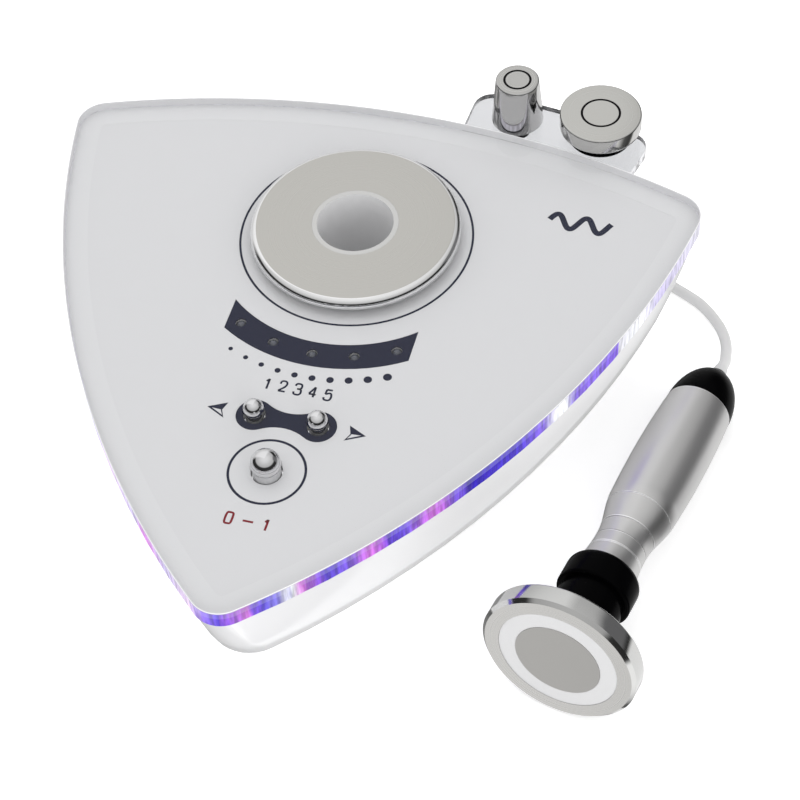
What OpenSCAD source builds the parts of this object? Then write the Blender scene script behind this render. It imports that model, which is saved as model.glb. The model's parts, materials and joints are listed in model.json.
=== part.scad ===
// Facial toning device: a three-cornered table console with a dock, three ball buttons and a clear
// probe rack, and a corded handpiece that lies on the table beside it.
// The origin is on the table, under the dock's axis. +Z is up and +Y is the device's back.

/* [Console] */
// Distance from the middle of the console to the centre of each rounded corner
console_span = 154.5; // [148:0.5:162]
// Corner radius of the clear plate
plate_corner_r = 13.5; // [12.5:0.5:18]
// Radius of the three bowed sides, through the corner centres
side_r = 400; // [360:10:520]
// How far the middle of the console lies in front of the dock's axis
dock_back = 37.5; // [35:0.5:40]
// Height of the moulded casing
casing_h = 49.5; // [47:0.5:56]
// How much the corner centres move in from the casing's top to its base
corner_draw = 23; // [12:0.5:24]
// Corner radius of the casing at its base
base_corner_r = 19; // [17:0.5:23]
// Step from the plate's edge in to the casing's top edge
casing_step = 1; // [0.4:0.2:2]
// Wall and floor thickness of the casing
casing_wall = 2.5; // [2:0.1:3.2]
// Rounding of the casing's bottom edge
bottom_round = 2.6; // [1.5:0.1:3]

/* [Plate and glowing ring] */
// Thickness of the clear top plate
plate_t = 4; // [3:0.5:6]
// Bevel on the plate's top edge
plate_bevel = 0.8; // [0.4:0.1:1.2]
// Height of the light guide ring
guide_h = 5; // [5:0.5:7]
// Width of the light guide ring
guide_w = 8; // [7:0.5:8.5]
// Distance from the plate's edge in to the backing panel
panel_inset = 10.5; // [10:0.5:11]
// Thickness of the backing panel
panel_t = 2; // [1.6:0.2:2.2]
// Thickness of the flexible light strip
strip_t = 0.7; // [0.5:0.1:0.8]
// Chips along each side of the light strip
strip_chips = 9; // [5:1:12]

/* [Dock] */
// Radius of the dock's bore
dock_r = 17.1; // [16.6:0.1:18]
// Depth of the dock's bore
dock_depth = 42; // [34:1:44]
// Wall of the white dock cup
cup_wall = 1.5; // [1.2:0.1:2]
// How far the cup's rim stands out over its wall
cup_rim = 0.7; // [0.5:0.1:1]
// Height of the cup's rim
cup_rim_h = 2; // [1.5:0.1:2.5]
// Outer radius of the steel ring
ring_r = 47.1; // [42:0.1:50]
// Height of the steel ring
ring_h = 5; // [4.5:0.5:8]
// Radius of the steel ring's rounded top edge
ring_round = 3.6; // [2:0.1:4]
// Radius of the ring nut under the panel
nut_r = 25; // [23:0.5:28]
// Height of the ring nut
nut_h = 5; // [4:0.5:7]

/* [Controls] */
// Radius of the power button's ball
power_r = 6.35; // [5.5:0.05:7]
// Height of the power ball's centre over the plate
power_rise = 1.7; // [0.5:0.1:2.5]
// Distance from the centre of the front corner back to the power button
power_in = 58.8; // [56:0.2:62]
// Radius of the two small buttons' balls
ball_r = 4.4; // [3.8:0.1:4.8]
// Height of the small balls' centres over the plate
ball_rise = 0.4; // [0:0.1:1.2]
// Distance from the middle line out to each small button
ball_x = 13.9; // [12:0.1:16]
// Distance from the power button back to the small buttons
ball_in = 26.8; // [25.6:0.2:29]
// Travel of each button
press = 1; // [0.6:0.1:1.2]
// Radius of each end of the dark inlay under the small buttons
inlay_r = 7.85; // [7:0.05:9]
// Width of the inlay's waist
inlay_waist = 7.8; // [6:0.1:9]
// Inner radius of the level window
window_in = 63; // [60:0.5:64]
// Width of the level window
window_w = 13; // [11:0.5:14]
// Half length of the level window, across the device
window_x = 41.2; // [38:0.2:44]
// Thickness of the window and the inlay
inlay_t = 0.8; // [0.5:0.1:1]
// Radius of each level lamp
lamp_r = 2.25; // [1.8:0.05:2.5]
// Angle between two level lamps, seen from the dock's axis
lamp_pitch = 15.2; // [13:0.1:16]

/* [Handpiece] */
// Outer radius of the probe's steel disc
disc_r = 32.9; // [30:0.1:34]
// Thickness of the steel disc
disc_t = 9.5; // [8:0.5:12]
// Bevel on the disc's front edge
disc_bevel = 1.5; // [0.8:0.1:2]
// Outer radius of the white insulating ring
insulator_r = 25.3; // [23:0.1:27]
// Radius of the centre electrode
electrode_r = 18.1; // [15:0.1:20]
// Depth of the ring and the electrode in the disc
face_t = 4; // [3:0.5:5]
// Radius of the probe's black neck
neck_r = 14.2; // [12.5:0.1:14.8]
// Length of the probe's black neck
neck_l = 25; // [18:0.5:28]
// Radius of the plug that all probes share
plug_r = 6; // [5:0.1:6.5]
// Length of that plug
plug_l = 11; // [9:0.5:13]
// Largest radius of the black collar on the handle
collar_r = 16; // [15:0.1:17]
// Length of the collar on the handle
collar_l = 14.5; // [13:0.5:18]
// Radius of the handle's waist
waist_r = 11.5; // [11.2:0.1:13]
// Largest radius of the handle
belly_r = 15.95; // [15:0.05:16.6]
// Length of the aluminium handle
handle_l = 102.5; // [96:0.5:120]
// Radius of the handle where its tail cap starts
tail_r = 14.85; // [13:0.05:15.4]
// Length of the domed tail cap
cap_l = 25; // [20:0.5:30]
// Depth and width of the ring grooves
groove = 0.4; // [0.2:0.1:0.6]
// Direction of the handle from the disc to the tail, from +X
handle_turn = 78.5; // [70:0.5:90]
// Place of the disc's face beside the console
face_x = 131.4; // [129:0.1:150]
// Distance from the dock's axis forward to the disc's face
face_y = 178.2; // [175:0.1:182]

/* [Spare probes and rack] */
// Depth of the rack behind the plate's edge
rack_depth = 27; // [25:0.5:32]
// Distance from the plate's edge back to the eye probe's axis
eye_out = 15.2; // [14:0.2:18]
// Distance from the plate's edge back to the face probe's axis
face_out = 18.9; // [18:0.1:20.6]
// Rounding of the rack's rear corners
rack_round = 9; // [5:0.5:11]
// Radius of the eye probe at its top
eye_top_r = 10; // [9:0.1:11]
// Radius of the eye probe at its foot
eye_foot_r = 12; // [11.5:0.1:13]
// Height of the eye probe above the rack
eye_h = 24.2; // [18:0.2:30]
// Radius of the eye probe's centre electrode
eye_electrode_r = 5.4; // [4:0.1:6.5]
// Radius of the face probe
face_r = 18.7; // [17:0.1:19.5]
// Height of the face probe's steel disc
face_h = 8.2; // [7.6:0.2:13]
// Radius of the face probe's centre electrode
face_electrode_r = 8.1; // [6:0.1:11]
// Radius of the face probe's black collar
face_collar_r = 15.3; // [12:0.1:16]
// Height of the face probe's black collar
face_collar_h = 6.2; // [5:0.2:9]
// Width of the dark ring round a spare probe's electrode
dark_ring_w = 1.1; // [0.8:0.1:1.6]

/* [Feet, inlet and cord] */
// Depth of the recess in the rear wall
recess_depth = 11; // [9:0.5:13]
// Radius of the rubber feet
foot_r = 8; // [6:0.5:9]
// Height of the rubber feet below the casing
foot_h = 2.5; // [2:0.1:4]
// Radius of the low voltage inlet's bore
jack_r = 2.9; // [2.6:0.1:3.2]
// Depth of that bore
jack_depth = 9; // [7:0.5:10]
// Diameter of the cord
cord_d = 5; // [4.6:0.1:5.2]
// Length of the strain relief behind the recess
relief_l = 22; // [18:1:24]

/* [Hidden] */

eps = 0.01;
// Radial clearance of a fixed round fit
fit = 0.05;
// Radial clearance round a button or in a loose hole
loose = 0.3;

// Levels above the table
casing_top = foot_h + casing_h;
print_z = casing_top + guide_h;
plate_top = print_z + plate_t;
dock_z = plate_top + ring_h;
panel_z = print_z - panel_t;
floor_z = foot_h + casing_wall;
// Places of the buttons, forward of the dock's axis
power_y = dock_back + console_span - power_in;
ball_y = power_y - ball_in;

// Outline of the console: three bowed sides and three round corners, anticlockwise from the front.
side_steps = 14;
corner_steps = 9;
function bow_half(span) = asin(span * sin(60) / side_r);
function bow_centre(span) = span / 2 - side_r * cos(bow_half(span));
function outline(span, r) = [for (k = [0:2]) let (a = 120 * k - 30, h = bow_half(span), m = bow_centre(span))
    each concat(
        [for (i = [0:side_steps]) let (t = a - h + 2 * h * i / side_steps)
            [m * cos(a) + (side_r + r) * cos(t), m * sin(a) + (side_r + r) * sin(t) - dock_back]],
        [for (i = [1:corner_steps - 1]) let (t = a + h + (120 - 2 * h) * i / corner_steps)
            [span * cos(a + 60) + r * cos(t), span * sin(a + 60) + r * sin(t) - dock_back]])];
// The same outline at a share t of the casing's height, moved in by some distance
function casing_outline(t, inset) = let (
    span = console_span - corner_draw * (1 - t),
    top_r = plate_corner_r - casing_step)
    outline(span, base_corner_r + (top_r - base_corner_r) * t - inset);
function plate_outline(inset) = outline(console_span, plate_corner_r - inset);
// Y of the casing's outer rear wall at a height z and a distance x from the middle
function rear_wall_y(x, z) = let (
    t = (z - foot_h) / casing_h,
    span = console_span - corner_draw * (1 - t),
    r = base_corner_r + (plate_corner_r - casing_step - base_corner_r) * t)
    bow_centre(span) - dock_back + sqrt(pow(side_r + r, 2) - x * x);

// Solid skin over a list of rings [z, points], from the lowest to the highest
module loft(rings) {
    n = len(rings[0][1]);
    last = len(rings) - 1;
    polyhedron(
        points = [for (ring = rings) for (p = ring[1]) [p[0], p[1], ring[0]]],
        faces = concat(
            [[for (i = [0:n - 1]) i]],
            [[for (i = [n - 1:-1:0]) last * n + i]],
            [for (j = [0:last - 1]) for (i = [0:n - 1]) let (k = (i + 1) % n)
                each [[j * n + i, (j + 1) * n + i, (j + 1) * n + k],
                    [j * n + i, (j + 1) * n + k, j * n + k]]]));
}

// Tube swept along points, with flat ends square to the first and last stretch
function unit(v) = v / norm(v);
function tangent(p, i) = let (n = len(p) - 1)
    i == 0 ? unit(p[1] - p[0])
    : i == n ? unit(p[n] - p[n - 1])
    : unit(unit(p[i + 1] - p[i]) + unit(p[i] - p[i - 1]));
function ring_at(c, t, r, sides) = let (s = unit(cross(t, [0, 0, 1])), u = cross(s, t))
    [for (k = [0:sides - 1]) let (a = 360 * (k + 0.5) / sides) c + r * (cos(a) * s + sin(a) * u)];
module tube(p, r, sides) {
    m = len(p);
    rings = [for (i = [0:m - 1]) ring_at(p[i], tangent(p, i), r, sides)];
    polyhedron(
        points = [for (ring = rings) each ring],
        faces = concat(
            [[for (k = [0:sides - 1]) k]],
            [[for (k = [sides - 1:-1:0]) (m - 1) * sides + k]],
            [for (i = [0:m - 2]) for (k = [0:sides - 1]) let (l = (k + 1) % sides)
                each [[i * sides + k, (i + 1) * sides + k, (i + 1) * sides + l],
                    [i * sides + k, (i + 1) * sides + l, i * sides + l]]]));
}
// Smooth curve through points, some steps to each stretch
function curve(p, steps) = let (n = len(p) - 1) concat(
    [for (i = [0:n - 1]) for (s = [0:steps - 1])
        let (t = s / steps, a = p[max(i - 1, 0)], b = p[i], c = p[i + 1], d = p[min(i + 2, n)])
        0.5 * (2 * b + (c - a) * t + (2 * a - 5 * b + 4 * c - d) * t * t
            + (3 * b - a - 3 * c + d) * t * t * t)],
    [p[n]]);

// Points of a quarter round from an angle on, for turned outlines
function arc(c, r, from, to, steps = 8) =
    [for (i = [0:steps]) let (t = from + (to - from) * i / steps) [c[0] + r * cos(t), c[1] + r * sin(t)]];

module turned(points) rotate_extrude($fn = 96) polygon(points);
module disc(r, h, z = 0) translate([0, 0, z]) cylinder(r = r, h = h, $fn = 96);
module hollow(r, inner, h, z = 0) difference() {
    disc(r, h, z);
    disc(inner, h + 2, z - 1);
}

// ---- Casing ----

// Pillars: one towards each corner and one towards each side's middle
base_span = console_span - corner_draw;
pillar_far = base_span - 15.5;
pillar_near = bow_centre(base_span) + side_r + base_corner_r - 23.5;
pillar_r = 4;
pillar_top = 12;
screw_r = 1.25;
screw_l = 18;
screw_head_r = 2.9;
screw_head_h = 2;
screw_sink = 4;
pilot_r = screw_r + fit;
module at_pillars() for (k = [0:2]) {
    for (place = [[120 * k - 90, pillar_far], [120 * k - 30, pillar_near]])
        translate([place[1] * cos(place[0]), place[1] * sin(place[0]) - dock_back, 0]) children();
}

// Feet near the corners, and one under the dock
foot_recess = 0.8;
module at_feet() {
    for (k = [0:2]) let (a = 120 * k - 90)
        translate([base_span * cos(a), base_span * sin(a) - dock_back, 0]) children();
    children();
}

// Rear recess with the inlet and the cord's gland
recess_x = [26, 78];
recess_z = [9, 36];
recess_w = recess_x[1] - recess_x[0];
recess_h = recess_z[1] - recess_z[0];
rear_z = 22;
recess_y = rear_wall_y(recess_x[0] + recess_w / 2, rear_z) - recess_depth;
jack_x = 38;
gland_x = 64;
gland_neck_r = 4.5;
jack_face_r = 5.5;

// Generator board's posts
board_x = [-92, -28];
board_y = [-58, 18];
board_z = 12;
board_t = 1.6;
post_inset = 6;
post_r = 3;
module at_board_posts() for (x = [board_x[0] + post_inset, board_x[1] - post_inset])
    for (y = [board_y[0] + post_inset, board_y[1] - post_inset]) translate([x, y, 0]) children();

// Bosses that carry the rack's tongue, on the rear wall
rack_sweep = 11.3;
rack_in = 4.14;
rack_end = bow_half(console_span) - rack_in;
rack_angles = [rack_end - rack_sweep, rack_end];
rack_screw_inset = 14.5;
rack_boss_r = 4;
rack_boss_h = 12;
rack_axis = [0, bow_centre(console_span) - dock_back];
rack_edge = side_r + plate_corner_r;
rack_screw_angles = [for (k = [0:2]) rack_angles[0] + 2.6 + k * (rack_angles[1] - rack_angles[0] - 5.2) / 2];
module at_rack_screws() for (a = rack_screw_angles)
    translate([rack_axis[0] + (rack_edge - rack_screw_inset) * sin(a),
        rack_axis[1] + (rack_edge - rack_screw_inset) * cos(a), 0]) children();

// Vent slots through the floor, under the generator board
vent_l = 26;
vent_w = 3;
vent_pitch = 8;
module vents() for (k = [0:5]) for (x = [-46, -78]) hull_slot(x, -44 + k * vent_pitch);
module hull_slot(x, y) translate([x, y, foot_h - 1]) {
    translate([-vent_l / 2 + vent_w / 2, -vent_w / 2, 0]) cube([vent_l - vent_w, vent_w, casing_wall + 2]);
    for (s = [-1, 1]) translate([s * (vent_l - vent_w) / 2, 0, 0])
        cylinder(d = vent_w, h = casing_wall + 2, $fn = 24);
}

module casing_solid() loft([
    [foot_h, casing_outline(0, bottom_round)],
    [foot_h + 0.3 * bottom_round, casing_outline(0, 0.3 * bottom_round)],
    [foot_h + bottom_round, casing_outline(bottom_round / casing_h, 0)],
    [foot_h + casing_h / 3, casing_outline(1 / 3, -0.6)],
    [foot_h + 2 * casing_h / 3, casing_outline(2 / 3, -0.6)],
    [casing_top, casing_outline(1, 0)]]);
module casing_hollow() loft([
    [floor_z, casing_outline(casing_wall / casing_h, casing_wall + 1)],
    [floor_z + 1, casing_outline((casing_wall + 1) / casing_h, casing_wall)],
    [foot_h + casing_h / 3, casing_outline(1 / 3, casing_wall - 0.6)],
    [foot_h + 2 * casing_h / 3, casing_outline(2 / 3, casing_wall - 0.6)],
    [casing_top + 1, casing_outline(1, casing_wall)]]);
cup_floor = 2;
cup_bottom = dock_z - dock_depth - cup_floor;
cup_r = dock_r + cup_wall;
module lower_casing() color("white") difference() {
    union() {
        difference() {
            casing_solid();
            casing_hollow();
        }
        intersection() {
            casing_solid();
            translate([recess_x[0] - casing_wall, recess_y - casing_wall, recess_z[0] - casing_wall])
                cube([recess_w + 2 * casing_wall, 60, recess_h + 2 * casing_wall]);
        }
        at_pillars() disc(pillar_r, pillar_top - floor_z + eps, floor_z - eps);
        at_board_posts() disc(post_r, board_z - floor_z + eps, floor_z - eps);
        hollow(dock_r - 5, dock_r - 7.5, cup_bottom - floor_z + eps, floor_z - eps);
        intersection() {
            casing_solid();
            at_rack_screws() translate([-rack_boss_r, 0, casing_top - rack_boss_h])
                cube([2 * rack_boss_r, rack_screw_inset, rack_boss_h]);
        }
        at_rack_screws() disc(rack_boss_r, rack_boss_h, casing_top - rack_boss_h);
    }
    translate([recess_x[0], recess_y, recess_z[0]])
        cube([recess_w, 60, recess_h]);
    at_pillars() {
        disc(screw_head_r + loose, screw_sink + 1, foot_h - 1);
        disc(screw_r + loose, pillar_top, foot_h);
    }
    at_feet() disc(foot_r + fit, foot_recess + 1, foot_h - 1);
    for (hole = [[jack_x, jack_face_r], [gland_x, gland_neck_r]])
        translate([hole[0], recess_y, rear_z]) rotate([90, 0, 0])
            disc(hole[1] + fit, 2 * casing_wall + 2, -1);
    at_rack_screws() disc(pilot_r, rack_boss_h + 1, casing_top - rack_boss_h + 2);
    vents();
}
module feet() color("#303030") at_feet() disc(foot_r, foot_h + foot_recess);
module screw(l) {
    disc(screw_head_r, screw_head_h);
    disc(screw_r, l, screw_head_h - eps);
}
module casing_screws() color("silver") at_pillars()
    translate([0, 0, foot_h + screw_sink - screw_head_h]) screw(screw_l);

// ---- Ring of light, panel and plate ----

module rack_sector(inner, outer, margin) let (a = rack_angles[0] - margin, b = rack_angles[1] + margin)
    translate(rack_axis) polygon(concat(
        [for (i = [0:10]) let (t = a + (b - a) * i / 10) outer * [sin(t), cos(t)]],
        [for (i = [10:-1:0]) let (t = a + (b - a) * i / 10) inner * [sin(t), cos(t)]]));
rack_side_gap = 0.05;
module light_guide() color([0.55, 0.45, 0.95, 0.6]) translate([0, 0, casing_top]) linear_extrude(guide_h)
    difference() {
        polygon(plate_outline(0));
        polygon(plate_outline(guide_w));
        rack_sector(rack_edge - guide_w - 4, rack_edge + 4, rack_side_gap);
    }
strip_gap = 0.1;
chip_t = 0.9;
strip_margin = 0.5;
module rim_light_strip() color("ivory") translate([0, 0, casing_top + strip_margin]) {
    linear_extrude(guide_h - panel_t + 1.4 - 2 * strip_margin) difference() {
        polygon(plate_outline(guide_w + strip_gap));
        polygon(plate_outline(guide_w + strip_gap + strip_t));
        rack_sector(rack_edge - guide_w - 4, rack_edge + 4, 0.3);
    }
    for (k = [0:2]) let (h = bow_half(console_span), a = 120 * k - 30)
        for (i = [0:strip_chips - 1])
            let (t = a - h + 2 * h * (i + 0.5) / strip_chips,
                r = side_r + plate_corner_r - guide_w - strip_gap - strip_t - chip_t)
            if (k != 1 || 90 - t < rack_angles[0] - 1.5 || 90 - t > rack_angles[1] + 1.5)
                translate([bow_centre(console_span) * cos(a) + r * cos(t),
                    bow_centre(console_span) * sin(a) + r * sin(t) - dock_back, 0.5])
                    rotate([0, 0, t]) translate([0, -1.4, 0]) cube([chip_t + strip_t / 2, 2.8, 1.6]);
}

// Places of the lamps on their circle round the dock's axis
lamp_at = window_in + window_w / 2 - 0.3;
module at_lamps() for (k = [-2:2]) rotate([0, 0, k * lamp_pitch]) translate([0, -lamp_at, 0]) children();
module window_2d(grow) intersection() {
    difference() {
        circle(r = window_in + window_w + grow, $fn = 180);
        circle(r = window_in - grow, $fn = 180);
    }
    translate([-window_x - grow, -window_in - window_w - grow - 1])
        square([2 * (window_x + grow), window_w + window_in / 2]);
}
// Dumb-bell outline: two round ends joined by concave flanks
function flank_r(r, w) = (ball_x * ball_x - r * r + w * w / 4) / (2 * r - w);
module inlay_2d(grow) translate([0, -ball_y]) {
    let (f = flank_r(inlay_r, inlay_waist), y = inlay_waist / 2 + f, a = atan2(y, ball_x)) {
        for (s = [-1, 1]) translate([s * ball_x, 0]) circle(r = inlay_r + grow, $fn = 64);
        difference() {
            square([2 * (ball_x - inlay_r * cos(a)), 2 * inlay_r * sin(a) + 2 * grow], center = true);
            for (s = [-1, 1]) translate([0, s * y]) circle(r = f - grow, $fn = 128);
        }
    }
}
module at_balls() for (s = [-1, 1]) translate([s * ball_x, -ball_y, 0]) children();
inlay_gap = 0.1;
// Pins on the panel that carry the control board
board_pin_r = 1.4;
control_z = print_z - 13;
board_front_w = 52;
board_back_y = 56;
pin_inset = 4;
lamp_to_pin = 7;
front_pin_x = 20;
front_pin_y = power_y + 5.8;
back_pin_x = lamp_at * sin(2 * lamp_pitch) + lamp_to_pin;
back_pin_y = board_back_y + pin_inset;
board_back_w = 2 * (back_pin_x + pin_inset);
control_pins = [[-back_pin_x, -back_pin_y], [back_pin_x, -back_pin_y],
    [-front_pin_x, -front_pin_y], [front_pin_x, -front_pin_y]];
module backing_panel() color("whitesmoke") difference() {
    union() {
        translate([0, 0, panel_z]) linear_extrude(panel_t) polygon(plate_outline(panel_inset));
        at_pillars() disc(pillar_r, panel_z - pillar_top + eps, pillar_top);
        for (p = control_pins) translate([p[0], p[1], 0]) {
            disc(post_r, panel_z - control_z + eps, control_z);
            disc(board_pin_r, board_t + 2, control_z - board_t - 1);
        }
    }
    at_pillars() disc(pilot_r, screw_l + 3, pillar_top - 1);
    disc(cup_r + loose, panel_t + 2, panel_z - 1);
    translate([0, -power_y, 0]) disc(power_r + loose, panel_t + 2, panel_z - 1);
    at_balls() disc(ball_r + loose, panel_t + 2, panel_z - 1);
    at_lamps() disc(lamp_r + loose, panel_t + 2, panel_z - 1);
    translate([0, 0, print_z - inlay_t]) linear_extrude(inlay_t + 1) {
        window_2d(inlay_gap);
        inlay_2d(inlay_gap);
    }
}
module display_window() color("#23283d") difference() {
    translate([0, 0, print_z - inlay_t]) linear_extrude(inlay_t) window_2d(0);
    at_lamps() disc(lamp_r + loose / 2, inlay_t + 2, print_z - inlay_t - 1);
}
module button_inlay() color("#23283d") difference() {
    translate([0, 0, print_z - inlay_t]) linear_extrude(inlay_t) inlay_2d(0);
    at_balls() disc(ball_r + loose, inlay_t + 2, print_z - inlay_t - 1);
}
module top_plate() color([0.93, 0.95, 0.97, 0.5]) difference() {
    loft([
        [print_z, plate_outline(0)],
        [plate_top - plate_bevel, plate_outline(0)],
        [plate_top, plate_outline(plate_bevel)]]);
    disc(cup_r + loose, plate_t + 2, print_z - 1);
    translate([0, -power_y, 0]) disc(power_r + loose, plate_t + 2, print_z - 1);
    at_balls() disc(ball_r + loose, plate_t + 2, print_z - 1);
}

// ---- Dock ----

ring_bore = cup_r + fit;
rim_r = cup_r + cup_rim;
module dock_ring() color("#b9b7b0") turned(concat(
    [[ring_bore, plate_top], [ring_r - 1, plate_top]],
    arc([ring_r - 1, plate_top + 1], 1, -90, 0, 4),
    arc([ring_r - ring_round, dock_z - ring_round], ring_round, 0, 90),
    [[rim_r + fit, dock_z], [rim_r + fit, dock_z - cup_rim_h - fit], [ring_bore, dock_z - cup_rim_h - fit]]));
module dock_cup() color("white") turned([
    [0, cup_bottom], [cup_r - 1, cup_bottom], [cup_r, cup_bottom + 1], [cup_r, dock_z - cup_rim_h],
    [rim_r, dock_z - cup_rim_h], [rim_r, dock_z], [dock_r, dock_z],
    [dock_r, dock_z - dock_depth], [0, dock_z - dock_depth]]);
nut_grips = 8;
module dock_nut() color("gainsboro") difference() {
    disc(nut_r, nut_h, panel_z - nut_h);
    disc(cup_r + fit, nut_h + 2, panel_z - nut_h - 1);
    for (k = [0:nut_grips - 1]) rotate([0, 0, 360 * (k + 0.5) / nut_grips])
        translate([nut_r, 0, 0]) disc(1.6, nut_h + 2, panel_z - nut_h - 1);
}

// ---- Electronics ----

switch_w = 6;
switch_h = 3.5;
plunger_r = 1.7;
plunger_up = 1.5;
plunger_deep = 2;
running = 0.08;
switch_places = [[0, -power_y], [-ball_x, -ball_y], [ball_x, -ball_y]];
lamp_l = 8.6;
lamp_top = print_z - 0.15;
lamp_foot = lamp_top - lamp_l;
wire_r = 0.28;
wire_out = 0.9;
wire_gap = 0.07;
module lamp_wires(r) for (s = [-wire_out, wire_out]) translate([s, 0, 0])
    translate([0, 0, control_z - board_t]) cylinder(r = r, h = lamp_foot - control_z + board_t + 1, $fn = 16);
shoulder_y = 5.6;
board_margin = 6;
module control_board() color("darkgreen") difference() {
    translate([0, 0, control_z - board_t]) linear_extrude(board_t)
        polygon([[-board_back_w / 2, -board_back_y], [board_back_w / 2, -board_back_y],
            [board_back_w / 2, -ball_y - shoulder_y], [board_front_w / 2, -front_pin_y - board_margin],
            [-board_front_w / 2, -front_pin_y - board_margin], [-board_back_w / 2, -ball_y - shoulder_y]]);
    for (p = control_pins) translate([p[0], p[1], control_z - board_t - 1])
        disc(board_pin_r + fit, board_t + 2);
    at_lamps() lamp_wires(wire_r + wire_gap);
}
module level_lamps() color("lightcyan") at_lamps() {
    disc(lamp_r, lamp_l - lamp_r, lamp_foot);
    translate([0, 0, lamp_top - lamp_r]) sphere(r = lamp_r, $fn = 48);
    lamp_wires(wire_r);
}
module switch_bodies() color("#202020") for (p = switch_places)
    translate([p[0], p[1], control_z]) difference() {
        translate([-switch_w / 2, -switch_w / 2, 0]) cube([switch_w, switch_w, switch_h]);
        disc(plunger_r + running, switch_h, switch_h - plunger_deep - press - 0.2);
    }
module plunger(p) color("#404040") translate([p[0], p[1], control_z + switch_h - plunger_deep])
    disc(plunger_r, plunger_deep + plunger_up);
plunger_top = control_z + switch_h + plunger_up;

module generator_board() color("darkgreen") translate([board_x[0], board_y[0], board_z])
    cube([board_x[1] - board_x[0], board_y[1] - board_y[0], board_t]);
board_top = board_z + board_t;
core_w = 26;
core_d = 20;
core_h = 20;
core_limb = 5;
coil_short = 1;
core_place = [-74, -38];
module output_transformer() translate([core_place[0], core_place[1], board_top]) {
    color("dimgray") difference() {
        translate([-core_w / 2, -core_d / 2, 0]) cube([core_w, core_d, core_h]);
        translate([core_limb - core_w / 2, -core_d / 2 - 1, core_limb])
            cube([core_w - 2 * core_limb, core_d + 2, core_h - 2 * core_limb]);
    }
    color("khaki") translate([core_limb - core_w / 2, coil_short - core_d / 2, core_limb])
        cube([core_w - 2 * core_limb, core_d - 2 * coil_short, core_h - 2 * core_limb]);
}
fin_t = 1.6;
fin_pitch = 4.6;
fins = 7;
fin_l = 20;
fin_h = 20;
sink_base = 4;
sink_place = [-84, -14];
module heat_sink() color("#9a9a9e") translate([sink_place[0], sink_place[1], board_top]) {
    cube([(fins - 1) * fin_pitch + fin_t, fin_l, sink_base]);
    for (k = [0:fins - 1]) translate([k * fin_pitch, 0, 0]) cube([fin_t, fin_l, fin_h]);
}
can_r = 5;
can_h = 16;
can_top_r = 4.4;
can_top_h = 0.6;
can_pitch = 14;
can_place = [-40, -46];
module capacitors() color("navy") for (k = [0:2])
    translate([can_place[0], can_place[1] + can_pitch * k, board_top]) {
        disc(can_r, can_h);
        disc(can_top_r, can_top_h, can_h - eps);
    }
ribbon_w = 12;
ribbon_t = 1;
module ribbon_cable() color("lightgray") translate([board_x[1] - ribbon_w / 2, 0, 0]) rotate([90, 0, 90])
    linear_extrude(ribbon_w, center = true) polygon([
        [-56, board_top], [-53, board_top], [-53, 24], [-62, 31], [-62, control_z - board_t],
        [-62 - ribbon_t, control_z - board_t], [-62 - ribbon_t, 30.5], [-54, 23.5], [-54, board_top + 1],
        [-56, board_top + 1]]);

// ---- Rear inlet and gland ----

module power_jack() color("#1c1c1c") translate([jack_x, recess_y, rear_z]) rotate([-90, 0, 0]) difference() {
    union() {
        disc(jack_face_r, casing_wall + 0.6, -casing_wall);
        translate([-6.5, -6, -casing_wall - 12]) cube([13, 12, 12]);
    }
    disc(jack_r, jack_depth + 1, 0.6 - jack_depth);
}
gland_flange_r = 7;
gland_flange_t = 2;
gland_tip_r = cord_d / 2 + 0.7;
gland_base_r = cord_d / 2 + 2.2;
module cord_gland() color("#d8d8d8") translate([gland_x, recess_y, rear_z]) rotate([-90, 0, 0]) turned([
    [0, -casing_wall - 3], [gland_flange_r - 0.5, -casing_wall - 3], [gland_flange_r - 0.5, -casing_wall],
    [gland_neck_r, -casing_wall], [gland_neck_r, 0], [gland_flange_r, 0], [gland_flange_r, gland_flange_t],
    [gland_base_r, gland_flange_t + 0.6], [gland_tip_r, relief_l + gland_flange_t],
    [0, relief_l + gland_flange_t]]);

// ---- Rack and spare probes ----

tongue_t = 2.5;
tongue_inset = 19;
rack_t = guide_h;
rack_z = casing_top;
eye_angle = rack_angles[0] + 2.99;
face_angle = rack_angles[1] - 3.03;
function on_rack(a, out) = rack_axis + (rack_edge + out) * [sin(a), cos(a)];
eye_place = on_rack(eye_angle, eye_out);
face_place = on_rack(face_angle, face_out);
rack_hole_r = plug_r + 0.2;
// Rear corners are arcs whose centres lie on the rack's own ring
function rack_outline() = let (
    outer = rack_edge + rack_depth,
    mid = outer - rack_round,
    turn = asin(rack_round / mid),
    a = rack_angles[0] + turn,
    b = rack_angles[1] - turn)
    concat(
        [for (i = [0:6]) let (t = a - 90 + 90 * i / 6)
            mid * [sin(a), cos(a)] + rack_round * [sin(t), cos(t)]],
        [for (i = [1:11]) let (t = a + (b - a) * i / 12) outer * [sin(t), cos(t)]],
        [for (i = [0:6]) let (t = b + 90 * i / 6)
            mid * [sin(b), cos(b)] + rack_round * [sin(t), cos(t)]],
        [for (i = [0:8]) let (t = rack_angles[1] + (rack_angles[0] - rack_angles[1]) * i / 8)
            (rack_edge - guide_w - 1) * [sin(t), cos(t)]]);
module probe_rack() color([0.85, 0.9, 0.93, 0.4]) difference() {
    union() {
        translate([0, 0, rack_z]) linear_extrude(rack_t) translate(rack_axis) polygon(rack_outline());
        translate([0, 0, rack_z]) linear_extrude(tongue_t)
            rack_sector(rack_edge - tongue_inset, rack_edge - guide_w, -0.8);
    }
    for (p = [eye_place, face_place]) translate([p[0], p[1], 0]) disc(rack_hole_r, rack_t + 2, rack_z - 1);
    at_rack_screws() {
        disc(screw_r + loose, tongue_t + 2, rack_z - 1);
        disc(screw_head_r + fit, tongue_t, rack_z + tongue_t - 1.8);
    }
}
rack_screw_l = 9;
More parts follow.
